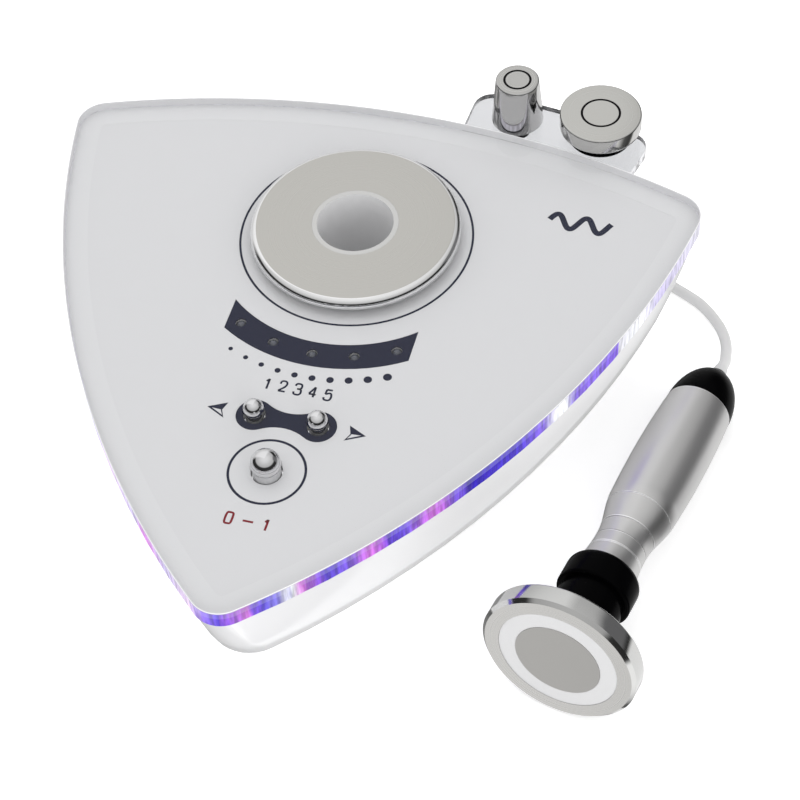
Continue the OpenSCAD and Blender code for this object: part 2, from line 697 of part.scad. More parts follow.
module rack_screws() color("silver") at_rack_screws() {
    disc(screw_head_r, 1.7, rack_z + tongue_t - 1.8);
    disc(screw_r, rack_screw_l, rack_z + tongue_t - 1.8 + eps - rack_screw_l);
}

rack_top = rack_z + rack_t;
module at_probe(p) translate([p[0], p[1], rack_top]) children();
module probe_plug(flange_r, flange_t) turned([
    [0, -plug_l], [plug_r - 0.8, -plug_l], [plug_r, -plug_l + 0.8], [plug_r, 0],
    [flange_r, 0], [flange_r, flange_t], [0, flange_t]]);

eye_flange_t = 1;
eye_flange_r = eye_foot_r - 2.4;
eye_face_t = 3;
module eye_plug() color("#181818") at_probe(eye_place) probe_plug(eye_flange_r, eye_flange_t);
module eye_shell() color("#a9a8a6") at_probe(eye_place) turned(concat(
    [[0, eye_flange_t], [eye_flange_r + fit, eye_flange_t], [eye_flange_r + fit, 0], [eye_foot_r - 0.6, 0]],
    arc([eye_foot_r - 0.6, 0.6], 0.6, -90, 0, 4),
    arc([eye_top_r - 0.8, eye_h - 0.8], 0.8, 5, 90, 4),
    [[eye_electrode_r + dark_ring_w, eye_h], [eye_electrode_r + dark_ring_w, eye_h - eye_face_t],
        [0, eye_h - eye_face_t]]));
ring_drop = 0.3;
module probe_insulator(inner, h, t) color("#202022")
    hollow(inner + dark_ring_w - fit, inner + fit, t - ring_drop, h - t);
module probe_electrode(r, h, t) color("#bfbdb8") disc(r, t, h - t);
module eye_insulator() at_probe(eye_place) probe_insulator(eye_electrode_r, eye_h, eye_face_t);
module eye_electrode() at_probe(eye_place) probe_electrode(eye_electrode_r, eye_h, eye_face_t);

face_top = face_collar_h + face_h;
face_face_t = 3;
module face_plug() color("#181818") at_probe(face_place) probe_plug(plug_r + 2, 1);
module face_collar() color("#101010") at_probe(face_place) turned([
    [plug_r + 2 + fit, 0], [face_collar_r - 1.2, 0], [face_collar_r - 0.6, 0.6], [face_collar_r - 0.6, 2],
    [face_collar_r, 2.4], [face_collar_r, face_collar_h], [0, face_collar_h], [0, 1], [plug_r + 2 + fit, 1]]);
module face_shell() color("#a9a8a6") at_probe(face_place) turned(concat(
    [[0, face_collar_h], [face_r - 1.2, face_collar_h]],
    arc([face_r - 1.2, face_collar_h + 1.2], 1.2, -90, 0, 4),
    arc([face_r - 0.8, face_top - 0.8], 0.8, 0, 90, 4),
    [[face_electrode_r + dark_ring_w, face_top], [face_electrode_r + dark_ring_w, face_top - face_face_t],
        [0, face_top - face_face_t]]));
module face_insulator() at_probe(face_place) probe_insulator(face_electrode_r, face_top, face_face_t);
module face_electrode() at_probe(face_place) probe_electrode(face_electrode_r, face_top, face_face_t);

// ---- Buttons ----

button_flange_t = 1.2;
flange_over = 1.4;
flange_top = panel_z - 0.2;
neck_step = 0.35;
module ball_button(p, r, rise) color("#d5d5d7") translate([p[0], p[1], 0]) {
    translate([0, 0, plate_top + rise]) sphere(r = r, $fn = 96);
    disc(r - neck_step, plate_top + rise - flange_top + button_flange_t, flange_top - button_flange_t);
    disc(r + flange_over, button_flange_t, flange_top - button_flange_t);
    disc(plunger_r, flange_top - button_flange_t - plunger_top + eps, plunger_top);
}
module power_button() ball_button(switch_places[0], power_r, power_rise);
module minus_button() ball_button(switch_places[1], ball_r, ball_rise);
module plus_button() ball_button(switch_places[2], ball_r, ball_rise);
module power_plunger() plunger(switch_places[0]);
module minus_plunger() plunger(switch_places[1]);
module plus_plunger() plunger(switch_places[2]);

// ---- Handpiece ----

// Stations along its axis, from the disc's face to the cord
neck_end = disc_t + neck_l;
handle_start = neck_end + collar_l;
handle_end = handle_start + handle_l;
cap_end = handle_end + cap_l;
sleeve_r = cord_d / 2 + 1;
sleeve_out = 5;
sleeve_end = cap_end + sleeve_out;
// It rests on the disc's rim and on the tail cap's dome.
cap_dome = [for (i = [0:15]) let (t = 6 * i) [tail_r * cos(t), handle_end + cap_l * sin(t)]];
tilt = min([for (p = cap_dome) atan((disc_r - p[0]) / (p[1] - disc_bevel))]);
face_z = disc_r * cos(tilt) + disc_bevel * sin(tilt);
along = [cos(handle_turn) * cos(tilt), sin(handle_turn) * cos(tilt), -sin(tilt)];
module lay() translate([face_x, -face_y, face_z]) rotate([0, 90 + tilt, handle_turn]) children();
function on_axis(l) = [face_x, -face_y, face_z] + l * along;

module head_shell() color("#b4b2ac") lay() turned(concat(
    [[insulator_r + fit, 0], [disc_r - disc_bevel, 0], [disc_r, disc_bevel]],
    arc([disc_r - 1, disc_t - 1], 1, 0, 90, 4),
    [[0, disc_t], [0, face_t], [insulator_r + fit, face_t]]));
module head_insulator() color("white") lay() hollow(insulator_r, electrode_r + fit, face_t - 0.2, 0.2);
module head_electrode() color("#bfbdb8") lay() disc(electrode_r, face_t);
module head_neck() color("#0c0c0c") lay() turned([
    [0, disc_t], [neck_r + 0.6, disc_t], [neck_r + 0.6, disc_t + 2], [neck_r, disc_t + 2.6],
    [neck_r, neck_end - 4], [neck_r - 0.8, neck_end - 3.4], [neck_r - 0.8, neck_end], [0, neck_end]]);
module head_plug() color("#303030") lay() turned([
    [0, neck_end], [plug_r, neck_end], [plug_r, neck_end + plug_l - 0.8],
    [plug_r - 0.8, neck_end + plug_l], [0, neck_end + plug_l]]);
plug_room = 1;
collar_round = 1.4;
collar_bend = 4.2;
spigot_l = 5;
shell_wall = 1.6;
shell_bore = waist_r - shell_wall;
// The collar's shoulder bends in until it is flush with the handle's flared lip
flare = 1.4;
collar_turn = acos((waist_r + flare - collar_r + collar_bend) / collar_bend);
module handle_collar() color("#0c0c0c") lay() turned(concat(
    [[plug_r + running, neck_end]],
    arc([collar_r - collar_round, neck_end + collar_round], collar_round, -90, 0, 5),
    arc([collar_r - collar_bend, handle_start - collar_bend * sin(collar_turn)],
        collar_bend, 0, collar_turn, 7),
    [[shell_bore - fit, handle_start],
        [shell_bore - fit, handle_start + spigot_l],
        [0, handle_start + spigot_l], [0, neck_end + plug_l + plug_room],
        [plug_r + running, neck_end + plug_l + plug_room]]));
// Handle: a flared lip, a waist, then a long belly that falls off towards the tail
flare_l = 16.5;
rise_l = 25;
belly_at = 0.673;
function belly(l) = let (m = handle_start + belly_at * handle_l)
    belly_r - (belly_r - tail_r) * pow((l - m) / (handle_end - m), 2);
function handle_r(l) = let (w = handle_start + flare_l)
    l < w ? waist_r + flare * pow((w - l) / flare_l, 2)
    : l < w + rise_l ? waist_r + (belly(w + rise_l) - waist_r) * (1 - cos(180 * (l - w) / rise_l)) / 2
    : belly(l);
groove_at = [7.6, 14.4, 22, 34.2];
handle_steps = 42;
module handle_shell() color("#c9c9c6") lay() difference() {
    turned(concat(
        [[shell_bore, handle_start]],
        [for (i = [0:handle_steps]) let (l = handle_start + handle_l * i / handle_steps) [handle_r(l), l]],
        [[shell_bore, handle_end]]));
    for (g = groove_at) let (l = handle_start + g, r = handle_r(l)) hollow(r + 1, r - groove, groove, l);
}
core_wall = 0.3;
cap_spigot = 6;
module handle_core() color("gainsboro") lay()
    disc(shell_bore - core_wall, handle_l - spigot_l - cap_spigot - 2, handle_start + spigot_l);
module tail_cap() color("#0c0c0c") lay() difference() {
    turned(concat(
        [[0, handle_end - cap_spigot], [shell_bore - fit, handle_end - cap_spigot],
            [shell_bore - fit, handle_end]],
        [for (p = cap_dome) if (p[0] > sleeve_r + 1.2) p],
        [[sleeve_r + 1, cap_end], [0, cap_end]]));
    disc(sleeve_r + fit, cap_l, cap_end - 5);
}
module cord_sleeve() color("#dedede") lay() turned([
    [0, cap_end - 5], [sleeve_r, cap_end - 5], [sleeve_r, cap_end + 1],
    [cord_d / 2 + 0.4, sleeve_end], [0, sleeve_end]]);

// ---- Cord ----

// The cord leaves the gland backwards, drops to the table, is folded into a tied hank close behind
// the console, then runs round the rear corner to the tail of the handpiece.
cord_r = cord_d / 2;
cord_sides = 10;
tie_t = 0.8;
hank_low = tie_t + 0.1 + cord_r;
hank_lift = cord_d + 0.6;
hank_step = cord_d + 1.2;
hank_fold = 15;
hank_run = 75;
hank_middle = [-24, 94.6];
hank_waist = 0.1;
hank_rings = 24;
run_rings = 5;
turn_rings = 7;
hank_last = 89;
hank_reverse = 50.5;
lap_starts = [0, run_rings, run_rings + turn_rings, 2 * run_rings + turn_rings];
function lap_x(j) = let (q = j % hank_rings)
    q < lap_starts[1] ? 1 - 2 * q / run_rings
    : q < lap_starts[2] ? -1
    : q < lap_starts[3] ? -1 + 2 * (q - lap_starts[2]) / run_rings
    : 1;
function lap_turn(j) = let (q = j % hank_rings)
    q < lap_starts[1] ? 90
    : q < lap_starts[2] ? 90 + 180 * (q - lap_starts[1]) / turn_rings
    : q < lap_starts[3] ? 270
    : 270 + 180 * (q - lap_starts[3]) / turn_rings;
function waist_at(x) = let (s = min(1, abs(x) / (hank_run / 2))) 1 - hank_waist * pow(1 - s * s, 2);
function climb_at(j) = let (s = max(0, min(1, (j - hank_reverse) / run_rings + 0.5))) s * s * (3 - 2 * s);
function hank_point(j) = let (
    rho = hank_fold + hank_step * abs(j - hank_reverse) / hank_rings,
    x = lap_x(j) * hank_run / 2 + rho * cos(lap_turn(j)),
    y = rho * sin(lap_turn(j)))
    [hank_middle[0] + x, hank_middle[1] + y * waist_at(x), hank_low + hank_lift * climb_at(j)];
hank_in = hank_point(0);
hank_out = hank_point(hank_last);
hank_path = concat([hank_in + [cord_d, 0, 0]],
    [for (j = [0:hank_last]) hank_point(j)],
    [hank_out + [cord_d, 0, 0]]);
gland_end = [gland_x, recess_y + gland_flange_t + relief_l, rear_z];
// Each stretch starts and ends with a straight piece, square to what it meets.
lead_points = [gland_end + [0, cord_d, 0], [63, 97, 17.5], [59, 106, 11.5], [52, 114, 6.5],
    [43, 119, 4.2], [33, 122, 3.4], hank_in + [2 * cord_d, 0, 0]];
tail_points = [hank_out + [2 * cord_d, 0, 0], [34, 68.4, 7.2], [46, 67, 4.6], [59, 66.2, 3],
    [74, 65.8, 2.6], [92, 65, 2.6], [108, 63.4, 2.6], [119, 59.4, 2.6], [128.4, 53.8, 2.6],
    [136.6, 49, 2.6], [144, 45.2, 2.6], [150.8, 41.2, 2.6], [157.6, 34.6, 3], [163.4, 25.4, 5],
    [167, 14.6, 8.2], on_axis(sleeve_end + cord_d)];
lead_path = concat([gland_end], curve(lead_points, 3), [hank_in + [cord_d, 0, 0]]);
tail_path = concat([hank_out + [cord_d, 0, 0]], curve(tail_points, 3), [on_axis(sleeve_end)]);
module cord_lead() color("#dcdcdc") tube(lead_path, cord_r, cord_sides);
module cord_hank() color("#dcdcdc") tube(hank_path, cord_r, 6);
module cord_tail() color("#dcdcdc") tube(tail_path, cord_r, cord_sides);
tie_w = 8;
hank_outer = hank_fold + hank_step * hank_reverse / hank_rings;
tie_y = hank_outer * (1 - hank_waist) + cord_r + 0.3;
tie_top = hank_low + hank_lift + cord_r + 0.2;
module tie_2d(y, low, high, r) {
    translate([-y, low + r]) square([2 * y, high - low - 2 * r]);
    translate([-y + r, low]) square([2 * (y - r), high - low]);
    for (s = [-1, 1]) for (z = [low + r, high - r]) translate([s * (y - r), z]) circle(r = r, $fn = 32);
}
module hank_tie() color("#b8b8b8") translate([hank_middle[0] - tie_w / 2, hank_middle[1], 0])
    rotate([90, 0, 90]) linear_extrude(tie_w) difference() {
        tie_2d(tie_y + tie_t, 0, tie_top + tie_t, 3);
        tie_2d(tie_y, tie_t, tie_top, 3 - tie_t);
    }

// Least gap of the hank's tube to itself, over points more than a third of a loop apart
hank_gap = min([for (i = [0:len(hank_path) - 1]) for (k = [i + 8:1:len(hank_path) - 1])
    norm(hank_path[i] - hank_path[k])]) - cord_d;
echo(hank_gap = hank_gap);
function length_of(p) = [for (i = 1, s = norm(p[1] - p[0]); i < len(p);
    i = i + 1, s = s + (i < len(p) ? norm(p[i] - p[i - 1]) : 0)) s][len(p) - 2];
echo(cord_length = length_of(lead_path) + length_of(hank_path) + length_of(tail_path));

lower_casing();
casing_screws();
feet();
light_guide();
rim_light_strip();
backing_panel();
top_plate();
display_window();
level_lamps();
button_inlay();
dock_ring();
dock_cup();
dock_nut();
control_board();
switch_bodies();
generator_board();
output_transformer();
heat_sink();
capacitors();
ribbon_cable();
power_jack();
cord_gland();
probe_rack();
rack_screws();
power_button();
power_plunger();
minus_button();
minus_plunger();
plus_button();
plus_plunger();
eye_shell();
eye_insulator();
eye_electrode();
eye_plug();
face_shell();
face_insulator();
face_electrode();
face_collar();
face_plug();
head_shell();
head_insulator();
head_electrode();
head_neck();
head_plug();
handle_collar();
handle_shell();
handle_core();
tail_cap();
cord_sleeve();
cord_lead();
cord_hank();
hank_tie();
cord_tail();
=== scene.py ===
# %% [markdown]
# # A facial toning console, dressed in Blender
# The device is a flat white console with three bowed sides. It carries a turned steel dock, three ball
# buttons and a clear rack with two spare probes, and a handpiece on a cord lies beside it. The solids
# come in as a fixed frame, in metres, so each step here only gives a piece its skin, its print or its
# light. A smooth studio look needs few shapes but careful materials, so those get most of the room.

# %% Load the frame
import json
import math
import bmesh
import bpy
from mathutils import Matrix, Vector


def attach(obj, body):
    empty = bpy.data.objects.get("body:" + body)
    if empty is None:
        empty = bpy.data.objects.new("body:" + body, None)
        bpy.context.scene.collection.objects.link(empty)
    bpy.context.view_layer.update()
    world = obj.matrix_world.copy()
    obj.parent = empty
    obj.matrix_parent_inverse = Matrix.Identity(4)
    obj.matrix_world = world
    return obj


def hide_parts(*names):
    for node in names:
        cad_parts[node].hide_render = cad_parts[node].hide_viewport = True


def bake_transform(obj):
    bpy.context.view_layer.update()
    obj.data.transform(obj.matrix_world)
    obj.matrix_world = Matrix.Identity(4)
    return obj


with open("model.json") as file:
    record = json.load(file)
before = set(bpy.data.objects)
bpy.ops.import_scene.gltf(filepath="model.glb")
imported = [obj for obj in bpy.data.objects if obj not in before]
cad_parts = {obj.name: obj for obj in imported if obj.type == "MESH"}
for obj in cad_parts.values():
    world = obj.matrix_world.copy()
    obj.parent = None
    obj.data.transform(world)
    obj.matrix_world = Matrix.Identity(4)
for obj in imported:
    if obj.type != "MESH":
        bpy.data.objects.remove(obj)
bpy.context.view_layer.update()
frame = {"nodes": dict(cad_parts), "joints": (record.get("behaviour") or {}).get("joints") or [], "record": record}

# %% [markdown]
# ## Camera
# The photograph looks down at the console from the front right, with a long lens, so far edges hardly
# shrink. The camera's place and its three directions were worked out from the object's own circles and
# straight edges. A long focal length is set on the camera itself, and no shift is needed.

# %% Camera
MM = 0.001
EYE = Vector((213.5, -585.8, 733.5)) * MM
AZIMUTH, ELEVATION, ROLL = (math.radians(a) for a in (18.772, 51.982, -4.470))
LENS, SENSOR = 92.495, 36

flat = math.cos(ELEVATION)
back = Vector((math.sin(AZIMUTH) * flat, -math.cos(AZIMUTH) * flat, math.sin(ELEVATION)))
level = Vector((math.cos(AZIMUTH), math.sin(AZIMUTH), 0))
upward = back.cross(level)
right = level * math.cos(ROLL) + upward * math.sin(ROLL)
up = upward * math.cos(ROLL) - level * math.sin(ROLL)

camera = bpy.data.objects.new("camera", bpy.data.cameras.new("camera"))
camera.data.lens, camera.data.sensor_width = LENS, SENSOR
camera.data.clip_start, camera.data.clip_end = 0.01, 50
camera.matrix_world = Matrix((
    (right.x, up.x, back.x, EYE.x),
    (right.y, up.y, back.y, EYE.y),
    (right.z, up.z, back.z, EYE.z),
    (0, 0, 0, 1)))
bpy.context.scene.collection.objects.link(camera)
bpy.context.scene.camera = camera
bpy.context.scene.view_settings.view_transform = "Standard"
print("camera at", tuple(round(v, 3) for v in EYE))

# %% [markdown]
# ## Node groups for shared effects
# Plastic, rubber and anodised metal all have a fine, even grain, and lathe work has marks that run round
# its axis. Both effects serve many materials, so each is a node group with named inputs. A group puts out
# values and a normal only, and the shader stays in the material. A few helpers come first: they place a
# node together with its values and links, so that a tree reads like a short recipe.

# %% Helpers for node trees
def group_tree(name, inputs, outputs):
    """An empty shader node group with its sockets, and the ends that its nodes are linked to."""
    tree = bpy.data.node_groups.new(name, "ShaderNodeTree")
    for label, kind, value in inputs:
        socket = tree.interface.new_socket(label, in_out="INPUT", socket_type=kind)
        if value is not None:
            socket.default_value = value
    for label, kind in outputs:
        tree.interface.new_socket(label, in_out="OUTPUT", socket_type=kind)
    return tree, tree.nodes.new("NodeGroupInput").outputs, tree.nodes.new("NodeGroupOutput").inputs


def add(tree, kind, links=(), **settings):
    """A node with its settings, its plain socket values and its incoming links."""
    node = tree.nodes.new(kind)
    for key, value in settings.items():
        setattr(node, key, value)
    for socket, source in links:
        if isinstance(source, (int, float, tuple)):
            node.inputs[socket].default_value = source
        else:
            tree.links.new(source, node.inputs[socket])
    return node


def maths(tree, operation, *values):
    """The result of one sum over numbers or sockets."""
    return add(tree, "ShaderNodeMath", enumerate(values), operation=operation).outputs[0]


def blended(tree, factor, first, second):
    """The colour between two colours, by a factor."""
    links = [("Factor", factor), (6, first), (7, second)]
    return add(tree, "ShaderNodeMix", links, data_type="RGBA").outputs[2]


def scaled(tree, colour, factor):
    """A colour made lighter or darker by a factor."""
    return add(tree, "ShaderNodeVectorMath", [(0, colour), ("Scale", factor)], operation="SCALE").outputs[0]


def remapped(tree, value, first, last, new_first, new_last):
    """A value moved from one range to another."""
    links = [("Value", value), (1, first), (2, last), (3, new_first), (4, new_last)]
    return add(tree, "ShaderNodeMapRange", links).outputs[0]


def ramp(tree, value, stops, interpolation="LINEAR"):
    """A colour ramp over a value from 0 to 1; a stop is a place and a colour."""
    node = add(tree, "ShaderNodeValToRGB", [("Fac", value)])
    scale = node.color_ramp
    scale.interpolation = interpolation
    scale.elements.remove(scale.elements[1])
    scale.elements[0].position, scale.elements[0].color = stops[0]
    for place, colour in stops[1:]:
        scale.elements.new(place).color = colour
    return node.outputs["Color"]


# %% Grain and turning marks
FLOAT, VECTOR, COLOUR = "NodeSocketFloat", "NodeSocketVector", "NodeSocketColor"
FINISH = [("Mask", FLOAT), ("Roughness", FLOAT), ("Normal", VECTOR)]
BUMP_DEPTH = 0.0002


def put_out_finish(tree, source, result, mask, tone, middle):
    """Links a mask, a roughness that strays with a tone round its middle, and a normal."""
    centred = maths(tree, "SUBTRACT", tone, middle)
    roughness = maths(tree, "MULTIPLY_ADD", centred, source["Spread"], source["Roughness"])
    bump = add(tree, "ShaderNodeBump", [("Height", mask), ("Strength", source["Height"]),
                                        ("Distance", BUMP_DEPTH)])
    tree.links.new(mask, result["Mask"])
    tree.links.new(roughness, result["Roughness"])
    tree.links.new(bump.outputs["Normal"], result["Normal"])


def fine_grain():
    tree, source, result = group_tree("fine grain", [
        ("Vector", VECTOR, None), ("Scale", FLOAT, 900.0), ("Roughness", FLOAT, 0.4),
        ("Spread", FLOAT, 0.1), ("Height", FLOAT, 0.05)], FINISH)
    fine = add(tree, "ShaderNodeTexNoise", [("Vector", source["Vector"]), ("Scale", source["Scale"]),
                                            ("Detail", 3.0)]).outputs["Fac"]
    broad = add(tree, "ShaderNodeTexNoise", [("Vector", source["Vector"]), ("Scale", 18.0),
                                             ("Detail", 2.0)]).outputs["Fac"]
    put_out_finish(tree, source, result, fine, maths(tree, "ADD", fine, broad), 1.0)
    return tree


def turning_marks():
    """The marks are a noise over radius plus height, so they run round the axis on every face."""
    tree, source, result = group_tree("turning marks", [
        ("Vector", VECTOR, None), ("Marks", FLOAT, 2500.0), ("Roughness", FLOAT, 0.3),
        ("Spread", FLOAT, 0.1), ("Height", FLOAT, 0.1)], FINISH)
    x, y, z = add(tree, "ShaderNodeSeparateXYZ", [(0, source["Vector"])]).outputs
    flat = add(tree, "ShaderNodeCombineXYZ", [(0, x), (1, y)]).outputs[0]
    radius = add(tree, "ShaderNodeVectorMath", [(0, flat)], operation="LENGTH").outputs["Value"]
    marks = add(tree, "ShaderNodeTexNoise", [("W", maths(tree, "ADD", radius, z)), ("Scale", source["Marks"]),
                                             ("Detail", 2.0)], noise_dimensions="1D").outputs["Fac"]
    put_out_finish(tree, source, result, marks, marks, 0.5)
    return tree


grain = fine_grain()
lathe = turning_marks()
print("groups:", grain.name, "and", lathe.name)

# %% [markdown]
# ## Plastics and rubber
# Every finish is a Principled shader whose roughness and bump come from one of the two groups. A plain
# value, such as the index of a clear plastic, is set on the shader itself. Pale mouldings get a thin
# clear coat, which gives a moulded part its sharp second reflection over a softer body. Printed ink and
# black rubber get almost no shine, so that they stay as dark as they are in the photograph.

# %% Material maker
def material(name, colour, group, group_values, place=None, turn=(0, 0, 0), **principled):
    """A Principled material on Object coordinates, with its roughness and normal from a group."""
    mat = bpy.data.materials.new(name)
    mat.use_nodes = True
    tree = mat.node_tree
    shader = tree.nodes["Principled BSDF"]
    shader.inputs["Base Color"].default_value = (*colour, 1)
    for key, value in principled.items():
        shader.inputs[key.replace("_", " ").title().replace("Ior", "IOR")].default_value = value
    source = add(tree, "ShaderNodeTexCoord").outputs["Object"]
    if place is not None:
        source = add(tree, "ShaderNodeMapping", [("Vector", source), ("Location", tuple(place)),
                                                 ("Rotation", tuple(turn))], vector_type="TEXTURE").outputs[0]
    effect = add(tree, "ShaderNodeGroup", node_tree=group)
    tree.links.new(source, effect.inputs["Vector"])
    for key, value in group_values.items():
        effect.inputs[key].default_value = value
    tree.links.new(effect.outputs["Roughness"], shader.inputs["Roughness"])
    tree.links.new(effect.outputs["Normal"], shader.inputs["Normal"])
    return mat


# %% Plastics, rubber and boards
def moulded(name, colour, roughness, coat=0.0, scale=900.0, height=0.03, shine=0.5):
    """A moulded or printed finish: a body colour with a fine grain, and a clear coat where it has one."""
    return material(name, colour, grain, {"Scale": scale, "Roughness": roughness, "Spread": 0.06,
                                          "Height": height},
                    coat_weight=coat, coat_roughness=0.04, specular_ior_level=shine)


casing_white = moulded("casing white", (0.755, 0.755, 0.765), 0.3, coat=0.5)
panel_white = moulded("panel white", (0.61, 0.612, 0.625), 0.5)
border_white = moulded("border white", (0.63, 0.633, 0.645), 0.5)
rim_white = moulded("rim white", (0.85, 0.85, 0.86), 0.4)
edge_grey = moulded("edge grey", (0.64, 0.64, 0.655), 0.5)
cup_white = moulded("cup white", (0.74, 0.74, 0.745), 0.35, coat=0.3)
cup_lip = moulded("cup lip", (0.50, 0.50, 0.49), 0.3, coat=0.3)
ring_white = moulded("ring white", (0.60, 0.60, 0.605), 0.4, coat=0.2)
navy = moulded("navy print", (0.012, 0.014, 0.034), 0.5, shine=0.0)
dark_red = moulded("dark red print", (0.19, 0.010, 0.018), 0.5, shine=0.0)
gloss_black = moulded("gloss black", (0.0008, 0.0008, 0.001), 0.25, shine=0.02)
matt_black = moulded("matt black", (0.006, 0.006, 0.007), 0.5, shine=0.04)
foot_rubber = moulded("foot rubber", (0.02, 0.02, 0.02), 0.7, scale=500, height=0.2)
board_green = moulded("board green", (0.015, 0.12, 0.05), 0.4)
ribbon_grey = moulded("ribbon grey", (0.5, 0.5, 0.5), 0.5)
gland_grey = moulded("gland grey", (0.62, 0.62, 0.62), 0.5)
cord_grey = moulded("cord grey", (0.65, 0.65, 0.65), 0.42, scale=700, height=0.06)
strip_cream = moulded("strip cream", (0.7, 0.66, 0.5), 0.4)
sleeve_navy = moulded("sleeve navy", (0.02, 0.03, 0.12), 0.3)
lamp_clear = moulded("lamp clear", (0.05, 0.055, 0.075), 0.1, coat=0.6)
button_side = moulded("button side", (0.50, 0.50, 0.51), 0.45, shine=0.2)
print("plastics made")

# %% [markdown]
# ## Turned steel
# The dock, the probes and the disc are turned on a lathe. Their flat faces keep the tool's fine rings and
# look satin, and their rims are polished. Rings only look right round the piece's own axis, so a Mapping
# node puts the pattern there. The upright pieces are found from their own outlines. The disc that lies on
# the table is turned with its handle: its place is the middle of its face, and its direction is read from
# the joint that it slides out on.

# %% Where the turned pieces stand
PANEL_Z = 57.0


def post_of(node):
    """Where an upright round piece stands: the middle of its outline, at the panel's level."""
    xs, ys = zip(*(vertex.co.xy for vertex in frame["nodes"][node].data.vertices))
    return Vector(((min(xs) + max(xs)) / 2, (min(ys) + max(ys)) / 2, PANEL_Z * MM))


pull = next(joint for joint in frame["joints"] if joint["name"] == "body_probe_pull")
ALONG = -Vector(pull["axis"])
HAND_PLACE = Vector((131.4, -178.2, 32.8482)) * MM
HAND_TURN = (0, math.radians(90) - math.asin(ALONG.z), math.atan2(ALONG.y, ALONG.x))
EYE_PLACE, FACE_PLACE = post_of("eye_shell"), post_of("face_shell")
print("handle turned by", [round(math.degrees(a), 3) for a in HAND_TURN], "degrees")

# %% Metals
def turned(name, colour, roughness, place=(0, 0, 0), turn=(0, 0, 0), height=0.08, spread=0.12):
    """Lathe-turned metal, with its marks round the axis given."""
    return material(name, colour, lathe, {"Marks": 2500.0, "Roughness": roughness, "Spread": spread,
                                          "Height": height}, place, turn, metallic=1.0)


ring_steel = turned("dock steel", (0.56, 0.55, 0.52), 0.3)
# The dock's rim is polished, and its colour is also painted far lighter than the satin top's: that lift is a
# painted highlight.
ring_polish_and_highlight = turned("dock steel, polished, painted highlight", (0.93, 0.93, 0.93), 0.08, height=0.01, spread=0.03)
head_steel = turned("probe steel", (0.74, 0.73, 0.71), 0.26, HAND_PLACE, HAND_TURN)
core_steel = turned("electrode steel", (0.56, 0.55, 0.53), 0.32, HAND_PLACE, HAND_TURN)
head_polish = turned("probe steel, polished", (0.64, 0.64, 0.63), 0.1, HAND_PLACE, HAND_TURN, 0.02, 0.05)
eye_steel = turned("eye probe steel", (0.52, 0.515, 0.50), 0.24, EYE_PLACE)
eye_polish = turned("eye probe steel, polished", (0.56, 0.555, 0.55), 0.1, EYE_PLACE, height=0.02,
                    spread=0.04)
face_steel = turned("face probe steel", (0.56, 0.555, 0.53), 0.24, FACE_PLACE)
face_polish = turned("face probe steel, polished", (0.58, 0.575, 0.56), 0.1, FACE_PLACE, height=0.02,
                     spread=0.04)
chrome = material("chrome", (0.80, 0.80, 0.81), grain, {"Scale": 300.0, "Roughness": 0.05, "Spread": 0.03,
                                                       "Height": 0.01}, metallic=1.0)
screw_steel = material("screw steel", (0.5, 0.5, 0.5), grain, {"Roughness": 0.35}, metallic=1.0)
sink_metal = material("heat sink", (0.5, 0.5, 0.52), grain, {"Roughness": 0.45}, metallic=1.0)
core_iron = material("core iron", (0.1, 0.1, 0.11), grain, {"Roughness": 0.5}, metallic=0.6)
print("metals made")

# %% [markdown]
# ## Painted highlights on the handle
# The handle is blasted and anodised, and it has grooves and two rims. Their thin bright lines are painted
# highlights: a ramp along the handle's own axis is white in those narrow places, and it lifts the colour
# of the metal in them, while the roughness stays that of the rest of the handle.

# %% Handle metal
HANDLE_HIGHLIGHT_LINES = (49.0, 56.6, 63.4, 71.0, 83.2, 151.2)
HIGHLIGHT_LINE_WIDTH = 0.7
RAMP_LENGTH = 160
ANODISED = (0.66, 0.655, 0.65)
BLACK, WHITE = (0, 0, 0, 1), (1, 1, 1, 1)


def handle_material():
    mat = material("anodised aluminium, painted highlights", ANODISED, grain,
                   {"Scale": 1800.0, "Roughness": 0.36, "Spread": 0.08, "Height": 0.12}, metallic=1.0)
    tree = mat.node_tree
    where = add(tree, "ShaderNodeTexCoord").outputs["Object"]
    local = add(tree, "ShaderNodeMapping", [("Vector", where), ("Location", tuple(HAND_PLACE)),
                                            ("Rotation", HAND_TURN)], vector_type="TEXTURE").outputs[0]
    along = add(tree, "ShaderNodeSeparateXYZ", [(0, local)]).outputs[2]
    half = HIGHLIGHT_LINE_WIDTH / 2
    edges = [(cut + side, tone) for cut in HANDLE_HIGHLIGHT_LINES for side, tone in ((-half, WHITE), (half, BLACK))]
    stops = [(0, BLACK)] + [(edge / RAMP_LENGTH, tone) for edge, tone in edges]
    # painted highlights: thin white lines in the metal's colour at the grooves and the two rims
    painted_cut_highlights = ramp(tree, maths(tree, "MULTIPLY", along, 1 / (RAMP_LENGTH * MM)), stops, "CONSTANT")
    colour = blended(tree, painted_cut_highlights, (*ANODISED, 1), WHITE)
    tree.links.new(colour, tree.nodes["Principled BSDF"].inputs["Base Color"])
    return mat


handle_metal = handle_material()
print("cuts along the handle, mm:", HANDLE_HIGHLIGHT_LINES)

# %% [markdown]
# ## Clear plastics
# The top plate is clear acrylic over a white panel. Real refraction through such a thin sheet costs many
# samples and shows nothing, so the plate is a surface that only mirrors: it is white metal, and its alpha
# is the small share of light that acrylic mirrors at each angle. That share counts from outside only. The
# rack stands free and shows its thickness, so it gets true transmission; its cut edge is opaque, with
# painted streaks of light and shade.

